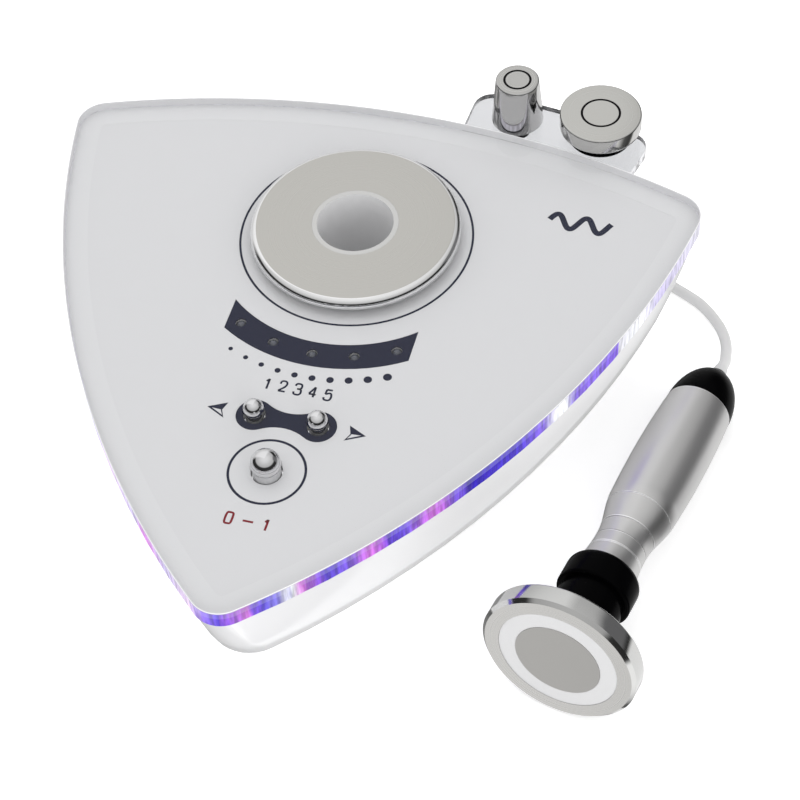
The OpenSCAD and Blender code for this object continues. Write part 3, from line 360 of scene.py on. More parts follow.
# %% Clear plastics
def plate_material():
    """Clear acrylic as a surface that only mirrors, by its own Fresnel share, seen from outside."""
    mat = material("clear plate", (1, 1, 1), grain, {"Roughness": 0.03, "Spread": 0.01, "Height": 0.0},
                   metallic=1.0)
    tree = mat.node_tree
    share = add(tree, "ShaderNodeFresnel", [("IOR", 1.40)]).outputs[0]
    inside = add(tree, "ShaderNodeNewGeometry").outputs["Backfacing"]
    alpha = maths(tree, "MULTIPLY", share, maths(tree, "SUBTRACT", 1.0, inside))
    tree.links.new(alpha, tree.nodes["Principled BSDF"].inputs["Alpha"])
    return mat


def rack_edge_material():
    """A polished edge of clear plastic gathers light and dark in streaks; here they are painted into its colour,
    as light and shade that the grain moves.
    """
    mat = material("clear rack edge, painted streaks", (0.4, 0.4, 0.42), grain,
                   {"Scale": 260.0, "Roughness": 0.1, "Spread": 0.05, "Height": 0.3}, coat_weight=0.5)
    tree = mat.node_tree
    mask = next(node for node in tree.nodes if node.type == "GROUP").outputs["Mask"]
    # painted light and shade: streaks from dark to light in the edge's base colour
    painted_edge_streaks = ramp(tree, mask, [(0.42, (.16, .16, .17, 1)), (0.58, (.80, .80, .82, 1))])
    tree.links.new(painted_edge_streaks, tree.nodes["Principled BSDF"].inputs["Base Color"])
    return mat


clear_plate = plate_material()
clear_rack = material("clear rack", (0.55, 0.555, 0.57), grain,
                      {"Roughness": 0.02, "Spread": 0.01, "Height": 0.0}, transmission_weight=1.0, ior=1.49)
rack_edge = rack_edge_material()
print("clear plastics made")

# %% [markdown]
# ## The glowing band
# The clear ring under the plate is lit from inside by coloured lamps, and the plate's own edge carries some
# of that light. The colours change along the edge: blue and violet stretches, orchid and pink spots near a
# lamp, short white gaps, and a pale mist on the right rear side. A ramp by the angle round the console puts
# the stretches in place, a noise shifts them a little, and a finer one gives the streaks.

# %% Band colours
CENTRE_Y = -37.5
TONES = {"deep": (0.026, 0.007, 0.456), "blue": (0.080, 0.038, 0.679), "violet": (0.223, 0.114, 0.775),
         "orchid": (0.78, 0.205, 0.85), "blush": (0.83, 0.66, 0.92), "lavender": (0.546, 0.485, 0.775),
         "mist": (0.63, 0.62, 0.69), "white": (0.92, 0.94, 0.97)}
STRETCHES = [
    (0, "mist"), (8, "white"), (14, "lavender"), (30, "mist"), (185, "mist"), (228, "lavender"),
    (240, "blush"), (251, "lavender"), (254, "orchid"), (260, "lavender"), (266, "blush"),
    (269, "violet"), (271.5, "blue"), (274.3, "orchid"), (275.8, "blue"), (278.4, "blue"),
    (278.6, "white"), (280.8, "white"), (281.2, "orchid"), (285, "blue"), (289, "violet"),
    (293, "orchid"), (297, "blue"), (301, "violet"), (305.5, "orchid"), (311, "violet"), (315, "deep"),
    (329, "blue"), (336, "violet"), (340, "white"), (344, "white"), (346, "violet")]
SHIFT = 0.07
UPRIGHT_STREAK = (1, 1, 0.12)
PER_RADIAN = 0.5 / math.pi
PALE_EDGE = (0.66, 0.66, 0.72, 1)


def band_colours():
    """The colour by the angle round the console, in upright streaks; Paleness mixes in the clear edge."""
    tree, source, result = group_tree(
        "band colours", [("Vector", VECTOR, None), ("Paleness", FLOAT, 0.0)], [("Color", COLOUR)])
    x, y, _ = add(tree, "ShaderNodeSeparateXYZ", [(0, source["Vector"])]).outputs
    angle = maths(tree, "ARCTAN2", maths(tree, "ADD", y, -CENTRE_Y * MM), x)
    stretch = add(tree, "ShaderNodeMapping", [("Vector", source["Vector"]), ("Scale", UPRIGHT_STREAK)])
    tall = stretch.outputs[0]
    drift = add(tree, "ShaderNodeTexNoise", [("Vector", tall), ("Scale", 240.0), ("Detail", 2.0)])
    moved = maths(tree, "MULTIPLY_ADD", drift.outputs["Fac"], SHIFT, angle)
    turns = maths(tree, "MULTIPLY_ADD", moved, PER_RADIAN, 1 - SHIFT / 2 * PER_RADIAN)
    stops = [(degrees / 360, (*TONES[tone], 1)) for degrees, tone in STRETCHES]
    colours = ramp(tree, maths(tree, "FRACT", turns), stops)
    fine = add(tree, "ShaderNodeTexNoise", [("Vector", tall), ("Scale", 520.0), ("Detail", 3.0)])
    streak = remapped(tree, fine.outputs["Fac"], 0.35, 0.65, 0.6, 1.25)
    pale = blended(tree, source["Paleness"], scaled(tree, colours, streak), PALE_EDGE)
    tree.links.new(pale, result["Color"])
    return tree


def lit_material(name, paleness):
    """A clear edge that glows in the band's colours."""
    mat = bpy.data.materials.new(name)
    mat.use_nodes = True
    tree = mat.node_tree
    shader = tree.nodes["Principled BSDF"]
    colours = add(tree, "ShaderNodeGroup", node_tree=band)
    tree.links.new(add(tree, "ShaderNodeTexCoord").outputs["Object"], colours.inputs["Vector"])
    colours.inputs["Paleness"].default_value = paleness
    tree.links.new(colours.outputs["Color"], shader.inputs["Emission Color"])
    shader.inputs["Base Color"].default_value = (0.02, 0.02, 0.03, 1)
    shader.inputs["Emission Strength"].default_value = 1.0
    shader.inputs["Roughness"].default_value = 0.2
    shader.inputs["Specular IOR Level"].default_value = 0.2
    return mat


band = band_colours()
lit_band = lit_material("lit band", 0.0)
lit_edge = lit_material("lit plate edge", 0.14)
print("band stretches:", len(STRETCHES))

# %% [markdown]
# ## Skins for the solids
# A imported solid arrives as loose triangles, which shade as facets. A copy of it is merged, its soft edges
# are smoothed and its hard ones kept, and the copy then stands for the node. The solids already have the
# true profiles, so this keeps every dimension and still gives clean reflections. Some pieces have two
# finishes, such as a satin face with a polished rim, and there a rule picks the faces of the second one.

# %% Skin helpers
def soften(work, angle):
    """Smooths every face, and keeps the edges above an angle sharp."""
    for edge in work.edges:
        edge.smooth = len(edge.link_faces) == 2 and edge.calc_face_angle(0) < math.radians(angle)
    for face in work.faces:
        face.smooth = True


def put_in(name, mesh, body, nodes=()):
    """Puts a mesh in the scene, and on its body if it has one; it stands for the nodes given."""
    piece = bpy.data.objects.new(name, mesh)
    bpy.context.scene.collection.objects.link(piece)
    if body:
        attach(piece, body)
    if nodes:
        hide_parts(*nodes)
    return piece


def skin(node, mat, body, other=None, chosen=None):
    """A merged, smooth copy of a node's mesh that stands for it; chosen faces get the other material."""
    solid = frame["nodes"][node].data
    mesh = bpy.data.meshes.new(node + "_skin")
    mesh.from_pydata([v.co for v in solid.vertices], [], [tuple(f.vertices) for f in solid.polygons])
    mesh.materials.append(mat)
    if other:
        mesh.materials.append(other)
    work = bmesh.new()
    work.from_mesh(mesh)
    bmesh.ops.remove_doubles(work, verts=work.verts, dist=1e-6)
    bmesh.ops.dissolve_degenerate(work, edges=work.edges, dist=1e-7)
    soften(work, 30.0)
    for face in work.faces:
        face.material_index = 1 if chosen and chosen(face.calc_center_median(), face.normal) else 0
    work.to_mesh(mesh)
    work.free()
    return put_in(node + "_skin", mesh, body, (node,))


# %% Skins of the visible pieces
body_of = {node: body for body, nodes in frame["record"]["behaviour"]["bodies"].items() for node in nodes}
shown = {
    "lower_casing": casing_white, "light_guide": lit_band, "backing_panel": panel_white,
    "top_plate": clear_plate, "display_window": navy, "button_inlay": navy, "level_lamps": lamp_clear,
    "dock_ring": ring_steel, "dock_cup": cup_white, "probe_rack": clear_rack,
    "power_button": chrome, "minus_button": chrome, "plus_button": chrome,
    "eye_shell": eye_steel, "eye_insulator": matt_black, "eye_electrode": eye_steel, "eye_plug": gloss_black,
    "face_shell": face_steel, "face_insulator": matt_black, "face_electrode": face_steel,
    "face_collar": gloss_black, "face_plug": gloss_black,
    "head_shell": head_steel, "head_insulator": ring_white, "head_electrode": core_steel,
    "head_neck": gloss_black, "head_plug": matt_black,
    "handle_collar": gloss_black, "handle_shell": handle_metal, "tail_cap": gloss_black,
    "cord_sleeve": gland_grey, "cord_gland": gland_grey, "power_jack": matt_black, "feet": foot_rubber,
}
MIDDLE = Vector((0, CENTRE_Y, 0)) * MM
OUTER_EDGE, RACK_EDGE, CUP_MOUTH = 105 * MM, 120 * MM, 65.5 * MM
UPRIGHT, STEEP, RING_FLAT, PROBE_FLAT = 0.12, 0.5, 0.96, 0.97
second = {
    "top_plate": (lit_edge, lambda c, n: abs(n.z) < STEEP and (c - MIDDLE).xy.length > OUTER_EDGE),
    "dock_ring": (ring_polish_and_highlight, lambda c, n: n.z < RING_FLAT),
    "probe_rack": (rack_edge, lambda c, n: abs(n.z) < STEEP and (c - MIDDLE).length > RACK_EDGE),
    "power_button": (button_side, lambda c, n: abs(n.z) < UPRIGHT),
    "dock_cup": (cup_lip, lambda c, n: c.z > CUP_MOUTH),
    "head_shell": (head_polish, lambda c, n: abs(n.dot(ALONG)) < PROBE_FLAT),
    "eye_shell": (eye_polish, lambda c, n: n.z < PROBE_FLAT),
    "face_shell": (face_polish, lambda c, n: n.z < PROBE_FLAT),
}
skins = {}
for node, mat in shown.items():
    other, chosen = second.get(node, (None, None))
    skins[node] = skin(node, mat, body_of[node], other, chosen)
print("skins:", len(skins))

# %% [markdown]
# ## Air under the plate
# The clear plate lies on the panel, so their faces share one plane, and a renderer can't tell which of the
# two comes first. The real plate has a film of air below it. The skin's underside is lifted by less than a
# tenth of a millimetre, which lets the panel and its print show without dark patches.

# %% Air under the plate
AIR = 0.08 * MM
lifted = [v for v in skins["top_plate"].data.vertices if abs(v.co.z - PANEL_Z * MM) < 1e-5]
for vertex in lifted:
    vertex.co.z += AIR
print("corners of the plate lifted:", len(lifted))

# %% [markdown]
# ## Inner pieces
# Boards, screws, switches and the transformer hardly show, but the casing's vents and an opened model let
# one see them. Their solids are plain shapes with hard edges, so they need no skin, only a finish.

# %% Finishes of the inner pieces
inside = {
    "casing_screws": screw_steel, "rim_light_strip": strip_cream, "dock_nut": cup_white,
    "control_board": board_green, "switch_bodies": matt_black, "generator_board": board_green,
    "output_transformer": core_iron, "heat_sink": sink_metal, "capacitors": sleeve_navy,
    "ribbon_cable": ribbon_grey, "rack_screws": screw_steel, "power_plunger": matt_black,
    "minus_plunger": matt_black, "plus_plunger": matt_black, "handle_core": cup_white,
}
for node, mat in inside.items():
    solid = frame["nodes"][node].data
    solid.materials.clear()
    solid.materials.append(mat)
print("inner pieces:", len(inside))

# %% [markdown]
# ## The cord
# The cord is one length of soft cable, 5 mm thick. It leaves the gland behind the console, lies on the
# table as a tied hank that the console hides, and comes round the rear corner to the tail of the
# handpiece. Its route is the solids' own route, so the same points are worked out here again, and a round
# tube is swept along them.

# %% Route of the hank
CORD = 5.0
GLAND_END = Vector((64, 77.9328, 22))
SLEEVE_END = Vector((167.334, -1.57723, 11.5087))
HANK = {"fold": 15.0, "step": 6.2, "run": 75.0, "middle": (-24.0, 94.6), "low": 3.4, "lift": 5.6,
        "waist": 0.1, "rings": 24, "run_rings": 5, "turn_rings": 7, "last": 89, "reverse": 50.5}


def hank_point(j):
    """A point of the hank: straight runs and round folds, spiralling in on one layer and out on the next."""
    h = HANK
    q = j % h["rings"]
    run, fold = h["run_rings"], h["turn_rings"]
    if q < run:
        x, turn = 1 - 2 * q / run, 90
    elif q < run + fold:
        x, turn = -1, 90 + 180 * (q - run) / fold
    elif q < 2 * run + fold:
        x, turn = -1 + 2 * (q - run - fold) / run, 270
    else:
        x, turn = 1, 270 + 180 * (q - 2 * run - fold) / fold
    rho = h["fold"] + h["step"] * abs(j - h["reverse"]) / h["rings"]
    x = x * h["run"] / 2 + rho * math.cos(math.radians(turn))
    y = rho * math.sin(math.radians(turn))
    y *= 1 - h["waist"] * (1 - min(1, abs(x) / (h["run"] / 2)) ** 2) ** 2
    s = max(0, min(1, (j - h["reverse"]) / run + 0.5))
    return Vector((h["middle"][0] + x, h["middle"][1] + y, h["low"] + h["lift"] * s * s * (3 - 2 * s)))


hank = [hank_point(j / 2) for j in range(2 * HANK["last"] + 1)]
print("points of the hank:", len(hank))

# %% Route of the whole cord
STEPS = 6
LEAD = [(63, 97, 17.5), (59, 106, 11.5), (52, 114, 6.5), (43, 119, 4.2), (33, 122, 3.4)]
TAIL = [(34, 68.4, 7.2), (46, 67, 4.6), (59, 66.2, 3), (74, 65.8, 2.6), (92, 65, 2.6), (108, 63.4, 2.6),
        (119, 59.4, 2.6), (128.4, 53.8, 2.6), (136.6, 49, 2.6), (144, 45.2, 2.6), (150.8, 41.2, 2.6),
        (157.6, 34.6, 3), (163.4, 25.4, 5), (167, 14.6, 8.2)]


def curve(points):
    """A smooth curve through points, as Catmull and Rom describe it."""
    out = []
    last = len(points) - 1
    for i in range(last):
        a, b, c, d = points[max(i - 1, 0)], points[i], points[i + 1], points[min(i + 2, last)]
        for s in range(STEPS):
            t = s / STEPS
            out.append(0.5 * (2 * b + (c - a) * t + (2 * a - 5 * b + 4 * c - d) * t * t
                              + (3 * b - a - 3 * c + d) * t ** 3))
    return out + [points[last]]


ahead = Vector((CORD, 0, 0))
lead = [GLAND_END + Vector((0, CORD, 0))] + [Vector(p) for p in LEAD] + [hank[0] + 2 * ahead]
tail = [hank[-1] + 2 * ahead] + [Vector(p) for p in TAIL] + [SLEEVE_END + CORD * ALONG]
route = ([GLAND_END] + curve(lead) + [hank[0] + ahead] + hank + [hank[-1] + ahead] + curve(tail)
         + [SLEEVE_END])

# %% Mesh helpers
def make_piece(name, verts, faces, mat, body, nodes=(), angle=35.0):
    """A closed mesh piece, its points in millimetres, with outward faces and smooth soft edges."""
    mesh = bpy.data.meshes.new(name)
    mesh.from_pydata([Vector(v) * MM for v in verts], [], faces)
    mesh.materials.append(mat)
    work = bmesh.new()
    work.from_mesh(mesh)
    bmesh.ops.recalc_face_normals(work, faces=work.faces)
    soften(work, angle)
    work.to_mesh(mesh)
    work.free()
    return put_in(name, mesh, body, nodes)


def swept(points, radius, sides):
    """Rings along points, each square to the path, with flat ends."""
    verts, faces = [], []
    for i, centre in enumerate(points):
        before, after = points[max(i - 1, 0)], points[min(i + 1, len(points) - 1)]
        along = (after - before).normalized()
        side = along.cross(Vector((0, 0, 1))).normalized()
        over = side.cross(along)
        for k in range(sides):
            a = 2 * math.pi * k / sides
            verts.append(centre + radius * (math.cos(a) * side + math.sin(a) * over))
    for i in range(len(points) - 1):
        for k in range(sides):
            m = (k + 1) % sides
            faces.append((i * sides + k, i * sides + m, (i + 1) * sides + m, (i + 1) * sides + k))
    faces.append(tuple(range(sides)))
    faces.append(tuple((len(points) - 1) * sides + k for k in range(sides)))
    return verts, faces


# %% The cord and its tie
cord_verts, cord_faces = swept(route, CORD / 2, 20)
cord = make_piece("cord", cord_verts, cord_faces, cord_grey, None,
                  ("cord_lead", "cord_hank", "cord_tail"))
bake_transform(cord)
tie = skin("hank_tie", ribbon_grey, "console")
print("cord:", len(cord.data.polygons), "faces")

# %% [markdown]
# ## Bands along the plate's edge
# Along its edge the plate looks a little lighter than the panel, and a fine bright rim ends it. That comes
# from light that the cut edge scatters, which a surface that only mirrors can't do. Three thin bands do it
# instead: a pale film on the panel, a light rim just under the plate's top, and a grey wall inside its edge.

# %% Bands along the plate's edge
INK = 0.04
SPAN, CORNER_R, SIDE_R = 154.5, 13.5, 400.0
EDGE_BANDS = {
    "plate_border": (border_white, 0.7, 10.7, 0.0, INK),
    "plate_rim": (rim_white, 0.02, 0.25, 3.6, 0.38),
    "plate_edge_wall": (edge_grey, 0.25, 0.6, 0.1, 3.8),
}


def arc(reach, heading, radius, angles):
    """Points of an arc whose centre lies a reach from the console's middle, in one heading."""
    middle = (reach * math.cos(heading), reach * math.sin(heading) + CENTRE_Y)
    return [(middle[0] + radius * math.cos(t), middle[1] + radius * math.sin(t)) for t in angles]


def console_outline(inset, side_steps=56, corner_steps=24):
    """The plate's outline, moved in: three bowed sides and three round corners."""
    half = math.asin(SPAN * math.sin(math.radians(60)) / SIDE_R)
    centre = SPAN / 2 - SIDE_R * math.cos(half)
    points = []
    for k in range(3):
        a = math.radians(120 * k - 30)
        side_angles = [a - half + 2 * half * i / side_steps for i in range(side_steps + 1)]
        corner_turn = math.radians(120) - 2 * half
        corner_angles = [a + half + corner_turn * i / corner_steps for i in range(1, corner_steps)]
        points += arc(centre, a, SIDE_R + CORNER_R - inset, side_angles)
        points += arc(SPAN, a + math.radians(60), CORNER_R - inset, corner_angles)
    return points


def band_plate(name, mat, outer_inset, inner_inset, base, height):
    """A thin closed band between two insets of the plate's outline, from a base above the panel."""
    outer, inner = console_outline(outer_inset), console_outline(inner_inset)
    n, low = len(outer), PANEL_Z + base
    verts = [(x, y, z) for z in (low, low + height) for x, y in outer + inner]
    faces = []
    for k in range(n):
        m = (k + 1) % n
        faces += [(k, m, n + m, n + k), (2 * n + k, 2 * n + m, 3 * n + m, 3 * n + k),
                  (k, m, 2 * n + m, 2 * n + k), (n + k, n + m, 3 * n + m, 3 * n + k)]
    return make_piece(name, verts, faces, mat, "console", angle=20)


for name, shape in EDGE_BANDS.items():
    band_plate(name, *shape)
print("edge bands:", len(EDGE_BANDS))

# %% [markdown]
# ## Printed marks
# The marks are printed on the panel, under the clear plate: a line round the dock, one round the power
# button, a row of growing dots, two arrowheads and a few plain signs. Each is a very thin plate with a
# real edge, a few hundredths of a millimetre proud, so that the mesh carries the mark by itself.

# %% Flat mark helpers
def plate_from(name, outlines, mat):
    """A thin closed plate from flat outlines, each a list of points that runs round one filled shape."""
    verts, faces = [], []
    for outline in outlines:
        start, n = len(verts), len(outline)
        verts += [(x, y, PANEL_Z) for x, y in outline] + [(x, y, PANEL_Z + INK) for x, y in outline]
        faces += [tuple(range(start, start + n)), tuple(range(start + n, start + 2 * n))]
        for k in range(n):
            m = (k + 1) % n
            faces.append((start + k, start + m, start + n + m, start + n + k))
    return make_piece(name, verts, faces, mat, "console", angle=20)


def ring_plate(name, centre, radius, line, steps=180):
    """A printed circle of a given line width."""
    verts, faces = [], []
    low, high = PANEL_Z, PANEL_Z + INK
    profile = ((radius - line / 2, low), (radius + line / 2, low), (radius + line / 2, high),
               (radius - line / 2, high))
    for k in range(steps):
        a = 2 * math.pi * k / steps
        verts += [(centre[0] + r * math.cos(a), centre[1] + r * math.sin(a), z) for r, z in profile]
        for c in range(4):
            m, d = (k + 1) % steps, (c + 1) % 4
            faces.append((4 * k + c, 4 * k + d, 4 * m + d, 4 * m + c))
    return make_piece(name, verts, faces, navy, "console", angle=40)


ring_plate("dock_line", (0, 0), 52.0, 1.0)
ring_plate("power_line", (0, -133.2), 16.0, 1.1)
print("two circles printed")

# %% Arrowheads
def arrowhead(side):
    """Half of the head is filled and the other half is an outline, as on the printed panel."""
    tip, top, low, notch = (34.6, -106.6), (26.6, -102.7), (26.2, -110.8), (28.0, -106.9)
    line = 0.55
    filled = [tip, top, notch]
    edge_low = [tip, low, (low[0] + line, low[1] + line + 0.5), (tip[0] - 2.0, tip[1] - 0.1)]
    edge_tail = [low, notch, (notch[0] + line, notch[1] - 0.1), (low[0] + line * 1.5, low[1] + line * 1.8)]
    return [[(side * x, y) for x, y in shape] for shape in (filled, edge_low, edge_tail)]


plate_from("less_arrow", arrowhead(-1), navy)
plate_from("more_arrow", arrowhead(1), navy)
print("two arrowheads printed")

# %% [markdown]
# ## Numbers and the wave sign
# The panel's signs are plain ones: a row of numbers for the levels, a switch sign in dark red, and a wave.
# Each is drawn as pen strokes: a path is rounded, and an outline is laid on both sides of it. Sharp turns
# are separate strokes, because an outline that folds over itself would fill in.

# %% Pen strokes
def rounded(path, times=2):
    """Cuts the corners of a path, which turns it into a smooth curve after two rounds."""
    for _ in range(times):
        cut = [path[0]]
        for a, b in zip(path, path[1:]):
            cut += [(a[0] * s + b[0] * (1 - s), a[1] * s + b[1] * (1 - s)) for s in (0.75, 0.25)]
        cut.append(path[-1])
        path = cut[:1] + [b for a, b in zip(cut, cut[1:]) if math.dist(a, b) > 1e-6]
    return path


def stroke(path, width):
    """The outline of a pen stroke of one width along a path."""
    left, right = [], []
    for k, point in enumerate(path):
        before, after = Vector(path[max(k - 1, 0)]), Vector(path[min(k + 1, len(path) - 1)])
        side = (after - before).normalized().orthogonal() * width / 2
        left.append((point[0] + side.x, point[1] + side.y))
        right.append((point[0] - side.x, point[1] - side.y))
    return left + right[::-1]


# %% Numbers and the wave sign
DIGITS = {
    "0": [[(.5, 1), (.05, 1), (.0, .5), (.05, 0), (.5, 0), (.95, 0), (1, .5), (.95, 1), (.49, 1)]],
    "1": [[(.5, 1), (.5, 0)], [(.5, .97), (.16, .74)]],
    "2": [[(.03, .72), (.1, 1.04), (.92, 1.04), (.98, .56), (.03, .06)], [(0, .03), (1, .03)]],
    "3": [[(.02, .8), (.12, 1.04), (.95, 1.04), (.95, .54), (.36, .53)],
          [(.36, .53), (1.02, .53), (1.02, -.04), (.08, -.04), (0, .22)]],
    "4": [[(.68, 1), (.02, .3)], [(0, .28), (1, .28)], [(.7, 1), (.7, 0)]],
    "5": [[(.95, .98), (.14, .98)], [(.16, .98), (.1, .52)],
          [(.1, .52), (.95, .76), (1.08, -.02), (.12, -.06), (0, .2)]],
}
DIGIT_HEIGHT, DIGIT_SHAPE = 5.4, 0.56
LEVEL_PEN, SWITCH_PEN, WAVE_PEN = 0.9, 0.95, 2.7


def number(digit, x, y, pen):
    """The strokes of one digit, with its lower left corner at x, y."""
    width = DIGIT_HEIGHT * DIGIT_SHAPE
    paths = [[(x + u * width, y + v * DIGIT_HEIGHT) for u, v in path] for path in DIGITS[digit]]
    return [stroke(rounded(path), pen) for path in paths]


level_numbers = []
for k, digit in enumerate("12345"):
    level_numbers += number(digit, -14.8 + 6.6 * k, -92.0, LEVEL_PEN)
switch_numbers = number("0", -9.6, -161.2, SWITCH_PEN) + number("1", 6.4, -161.2, SWITCH_PEN)
switch_numbers.append(stroke([(-2.2, -158.5), (2.2, -158.5)], SWITCH_PEN))
wave = [(81.6 + 0.5 * k, 28.9 + 4.0 * math.sin(k * math.pi / 13)) for k in range(56)]
plate_from("level_numbers", level_numbers, navy)
plate_from("switch_numbers", switch_numbers, dark_red)
plate_from("wave_sign", [stroke(wave, WAVE_PEN)], navy)
print("number strokes:", len(level_numbers) + len(switch_numbers))

# %% [markdown]
# ## A row of growing dots, by Geometry Nodes
# Ten dots follow a circle round the dock and grow from left to right. That is a rule, so one node tree
# makes them all: a line of points is bent to the circle, a small flat cylinder is put on each point and
# scaled by its index. The tree ends in real geometry, and the result is turned into a plain mesh.

# %% Helper that turns a node tree into a piece
def by_nodes(name, tree, values, mat, body):
    """Runs a geometry node tree on an empty mesh and keeps the result as a plain piece."""
    holder = bpy.data.objects.new(name + "_source", bpy.data.meshes.new(name + "_source"))
    bpy.context.scene.collection.objects.link(holder)
    modifier = holder.modifiers.new("nodes", "NODES")
    modifier.node_group = tree
    names = {item.name: item.identifier for item in tree.interface.items_tree
             if item.item_type == "SOCKET" and item.in_out == "INPUT"}
    for key, value in values.items():
        modifier[names[key]] = value
    graph = bpy.context.evaluated_depsgraph_get()
    mesh = bpy.data.meshes.new_from_object(holder.evaluated_get(graph))
    holder.modifiers.remove(modifier)
    bpy.data.objects.remove(holder)
    mesh.materials.clear()
    mesh.materials.append(mat)
    print(name, "faces:", len(mesh.polygons))
    return put_in(name, mesh, body)


# %% Dots
DOT_INPUTS = [
    ("Count", "NodeSocketInt", 10), ("Ring radius", FLOAT, 0.0823), ("First x", FLOAT, -0.0348),
    ("Pitch", FLOAT, 0.00775), ("First size", FLOAT, 0.001), ("Growth", FLOAT, 0.0001),
    ("Height", FLOAT, INK * MM), ("Level", FLOAT, PANEL_Z * MM), ("Ink", "NodeSocketMaterial", None)]


def dots_tree():
    """Dots with an even pitch in x, placed on the lower half of a circle, each larger than the last."""
    tree = bpy.data.node_groups.new("growing dots", "GeometryNodeTree")
    for label, kind, value in DOT_INPUTS:
        socket = tree.interface.new_socket(label, in_out="INPUT", socket_type=kind)
        if value is not None:
            socket.default_value = value
    tree.interface.new_socket("Geometry", in_out="OUTPUT", socket_type="NodeSocketGeometry")
    source = tree.nodes.new("NodeGroupInput").outputs
    points = add(tree, "GeometryNodePoints", [("Count", source["Count"])])
    index = add(tree, "GeometryNodeInputIndex").outputs[0]
    x = maths(tree, "MULTIPLY_ADD", index, source["Pitch"], source["First x"])
    whole = maths(tree, "MULTIPLY", source["Ring radius"], source["Ring radius"])
    depth = maths(tree, "SQRT", maths(tree, "SUBTRACT", whole, maths(tree, "MULTIPLY", x, x)))
    y = maths(tree, "MULTIPLY", depth, -1.0)
    z = maths(tree, "MULTIPLY_ADD", source["Height"], 0.5, source["Level"])
    place = add(tree, "ShaderNodeCombineXYZ", [(0, x), (1, y), (2, z)]).outputs[0]
    placed = add(tree, "GeometryNodeSetPosition", [("Geometry", points.outputs[0]), ("Position", place)])
    dot = add(tree, "GeometryNodeMeshCylinder", [
        ("Vertices", 32), ("Radius", source["First size"]), ("Depth", source["Height"])])
    size = maths(tree, "MULTIPLY_ADD", index, source["Growth"], source["First size"])
    ratio = maths(tree, "DIVIDE", size, source["First size"])
    scale = add(tree, "ShaderNodeCombineXYZ", [(0, ratio), (1, ratio), (2, 1.0)]).outputs[0]
    copies = add(tree, "GeometryNodeInstanceOnPoints", [
        ("Points", placed.outputs[0]), ("Instance", dot.outputs["Mesh"]), ("Scale", scale)])
    real = add(tree, "GeometryNodeRealizeInstances", [("Geometry", copies.outputs[0])])
    inked = add(tree, "GeometryNodeSetMaterial", [("Geometry", real.outputs[0]), ("Material", source["Ink"])])
    tree.links.new(inked.outputs[0], tree.nodes.new("NodeGroupOutput").inputs[0])
    return tree


by_nodes("level_dots", dots_tree(), {"Ink": navy}, navy, "console")

# %% [markdown]
# ## Floor and lamps
# The floor is a plain white sheet that glows a little, as a lit studio sweep does. Two soft lamps shape the
# white casing, one high at the rear left and one low at the front right. Mirrors see neither the floor nor
# the lamps: apart from the object itself they see only the sky, which keeps the reflections under control.

# %% Floor
FLOOR_REACH = 8
floor_mesh = bpy.data.meshes.new("floor")
corners = [(x * FLOOR_REACH, y * FLOOR_REACH, 0) for x, y in ((-1, -1), (1, -1), (1, 1), (-1, 1))]
floor_mesh.from_pydata(corners, [], [(0, 1, 2, 3)])
floor = bpy.data.objects.new("floor", floor_mesh)
bpy.context.scene.collection.objects.link(floor)
floor_white = moulded("floor white", (0.96, 0.96, 0.96), 0.9, shine=0.0)
floor_glow = floor_white.node_tree.nodes["Principled BSDF"].inputs
floor_glow["Emission Color"].default_value = WHITE
floor_glow["Emission Strength"].default_value = 0.35
floor_mesh.materials.append(floor_white)
floor.visible_glossy = False
print("floor laid")

# %% Lamps
def softbox(name, place, aim, size, power):
    """A square area light that mirrors don't see."""
    data = bpy.data.lights.new(name, "AREA")
    data.size = size
    data.energy = power
    lamp = bpy.data.objects.new(name, data)
    lamp.location = place
    lamp.rotation_euler = (Vector(aim) - Vector(place)).to_track_quat("-Z", "Y").to_euler()
    lamp.visible_glossy = False
    bpy.context.scene.collection.objects.link(lamp)
    return lamp


lamps = [softbox("key", (-0.5, 0.4, 1.6), (0, 0, 0), 1.2, 4.0),
         softbox("fill", (1.0, -1.1, 0.45), (0.05, -0.05, 0.02), 1.0, 5.0)]
print("lamps:", len(lamps))

# %% [markdown]
# ## The sky
# The light is that of a white tent, even from all sides. Polished metal only looks polished when it has
# something dark to mirror, so reflections see a second sky. It is laid out like the cards round a
# photographer's table: by the angle round the object, where 0 is towards the camera, and by the height. Low
# down, pale and dark cards alternate round the object and shade the upright rims. The front is dark near
# the horizon, for the buttons. Behind the object it is pale, for the flat steel faces. A narrow dark flag
# on the right gives the handle and the disc's rim their dark stripe.

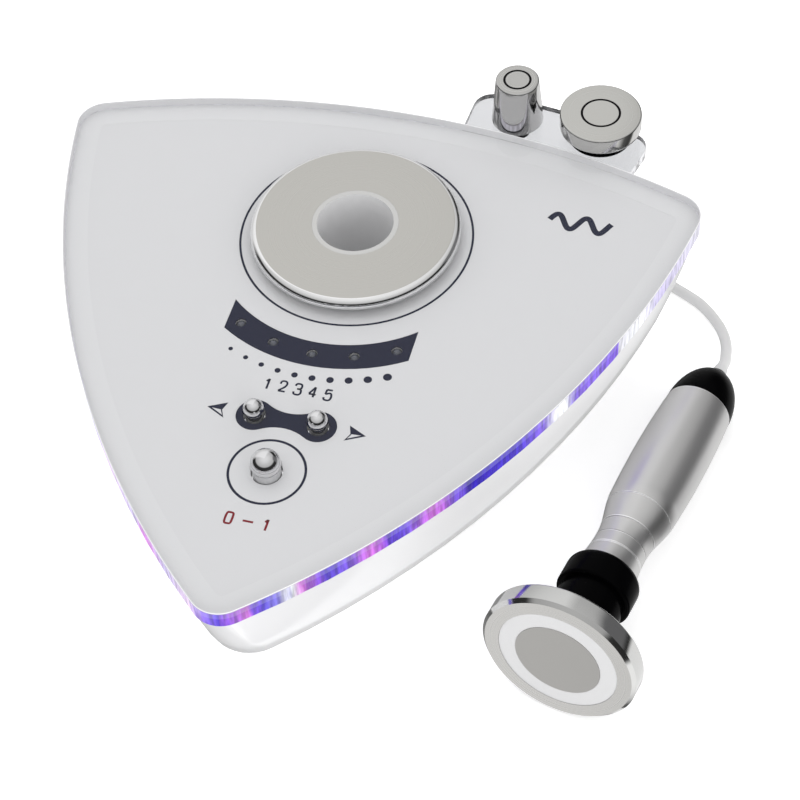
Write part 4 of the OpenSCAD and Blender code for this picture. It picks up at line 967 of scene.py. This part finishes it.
# %% Cards that reflections see
FACING = 71.2
CARD_LIGHT = 1.3
CARDS = [(-180, .15), (-130, .2), (-102, .10), (-84, .08), (-72, .3), (-60, .7), (-44, .62), (-30, .33),
         (-4, .33), (8, .6), (16, .95), (34, .95), (48, .45), (60, .10), (78, .05), (88, .08), (95, .8),
         (150, .75), (180, .15)]
FRONT = [(-1, .1), (-.1, .03), (.32, .03), (.44, .5), (.7, .62), (1, .85)]
REAR = [(-1, .3), (-.64, .3), (-.42, .42), (-.2, .55), (.12, .68), (.4, .85), (.6, .92), (1, .95)]
LOW = [(-1, 1), (-.26, 1), (-.16, 0), (1, 0)]
BEHIND = [(-180, 1), (-128, 1), (-112, 0), (150, 0), (166, 1), (180, 1)]
FLAG_SIDE = [(-180, 0), (86, 0), (94, 1), (113, 1), (128, 0), (180, 0)]
FLAG_HEIGHT = [(-1, 0), (-.12, 0), (.0, 1), (.44, 1), (.6, 0), (1, 0)]
FLAG_GREY = (.16, .16, .165, 1)


def by_angle(stops):
    """Greys round the object, their stops in degrees: 0 is towards the camera, and 90 to its right."""
    return ramp(sky, around, [((degrees + 180) / 360, (grey, grey, grey, 1)) for degrees, grey in stops])


def by_height(stops):
    """Greys from straight down, -1, through the horizon, 0, to straight up, 1."""
    return ramp(sky, height, [((rise + 1) / 2, (grey, grey, grey, 1)) for rise, grey in stops])


world = bpy.data.worlds.new("studio")
bpy.context.scene.world = world
world.use_nodes = True
sky = world.node_tree
direction = add(sky, "ShaderNodeTexCoord").outputs["Generated"]
x, y, z = add(sky, "ShaderNodeSeparateXYZ", [(0, direction)]).outputs
turns = maths(sky, "MULTIPLY_ADD", maths(sky, "ARCTAN2", y, x), PER_RADIAN, 1.5 + FACING / 360)
around = maths(sky, "FRACT", turns)
height = remapped(sky, z, -1.0, 1.0, 0.0, 1.0)

front_half = blended(sky, by_height(LOW), by_height(FRONT), scaled(sky, by_angle(CARDS), CARD_LIGHT))
tent = blended(sky, by_angle(BEHIND), front_half, by_height(REAR))
flag = maths(sky, "MULTIPLY", by_angle(FLAG_SIDE), by_height(FLAG_HEIGHT))
mirrored = blended(sky, flag, tent, FLAG_GREY)
print("cards:", len(CARDS))

# %% Sky for light and sky for reflections
soft = sky.nodes["Background"]
soft.inputs["Color"].default_value = WHITE
soft.inputs["Strength"].default_value = 1.0
mirror = add(sky, "ShaderNodeBackground", [("Color", mirrored), ("Strength", 1.0)])
glossy = add(sky, "ShaderNodeLightPath").outputs["Is Glossy Ray"]
both = add(sky, "ShaderNodeMixShader", [(0, glossy), (1, soft.outputs[0]), (2, mirror.outputs[0])])
sky.links.new(both.outputs[0], sky.nodes["World Output"].inputs["Surface"])
print("sky made")
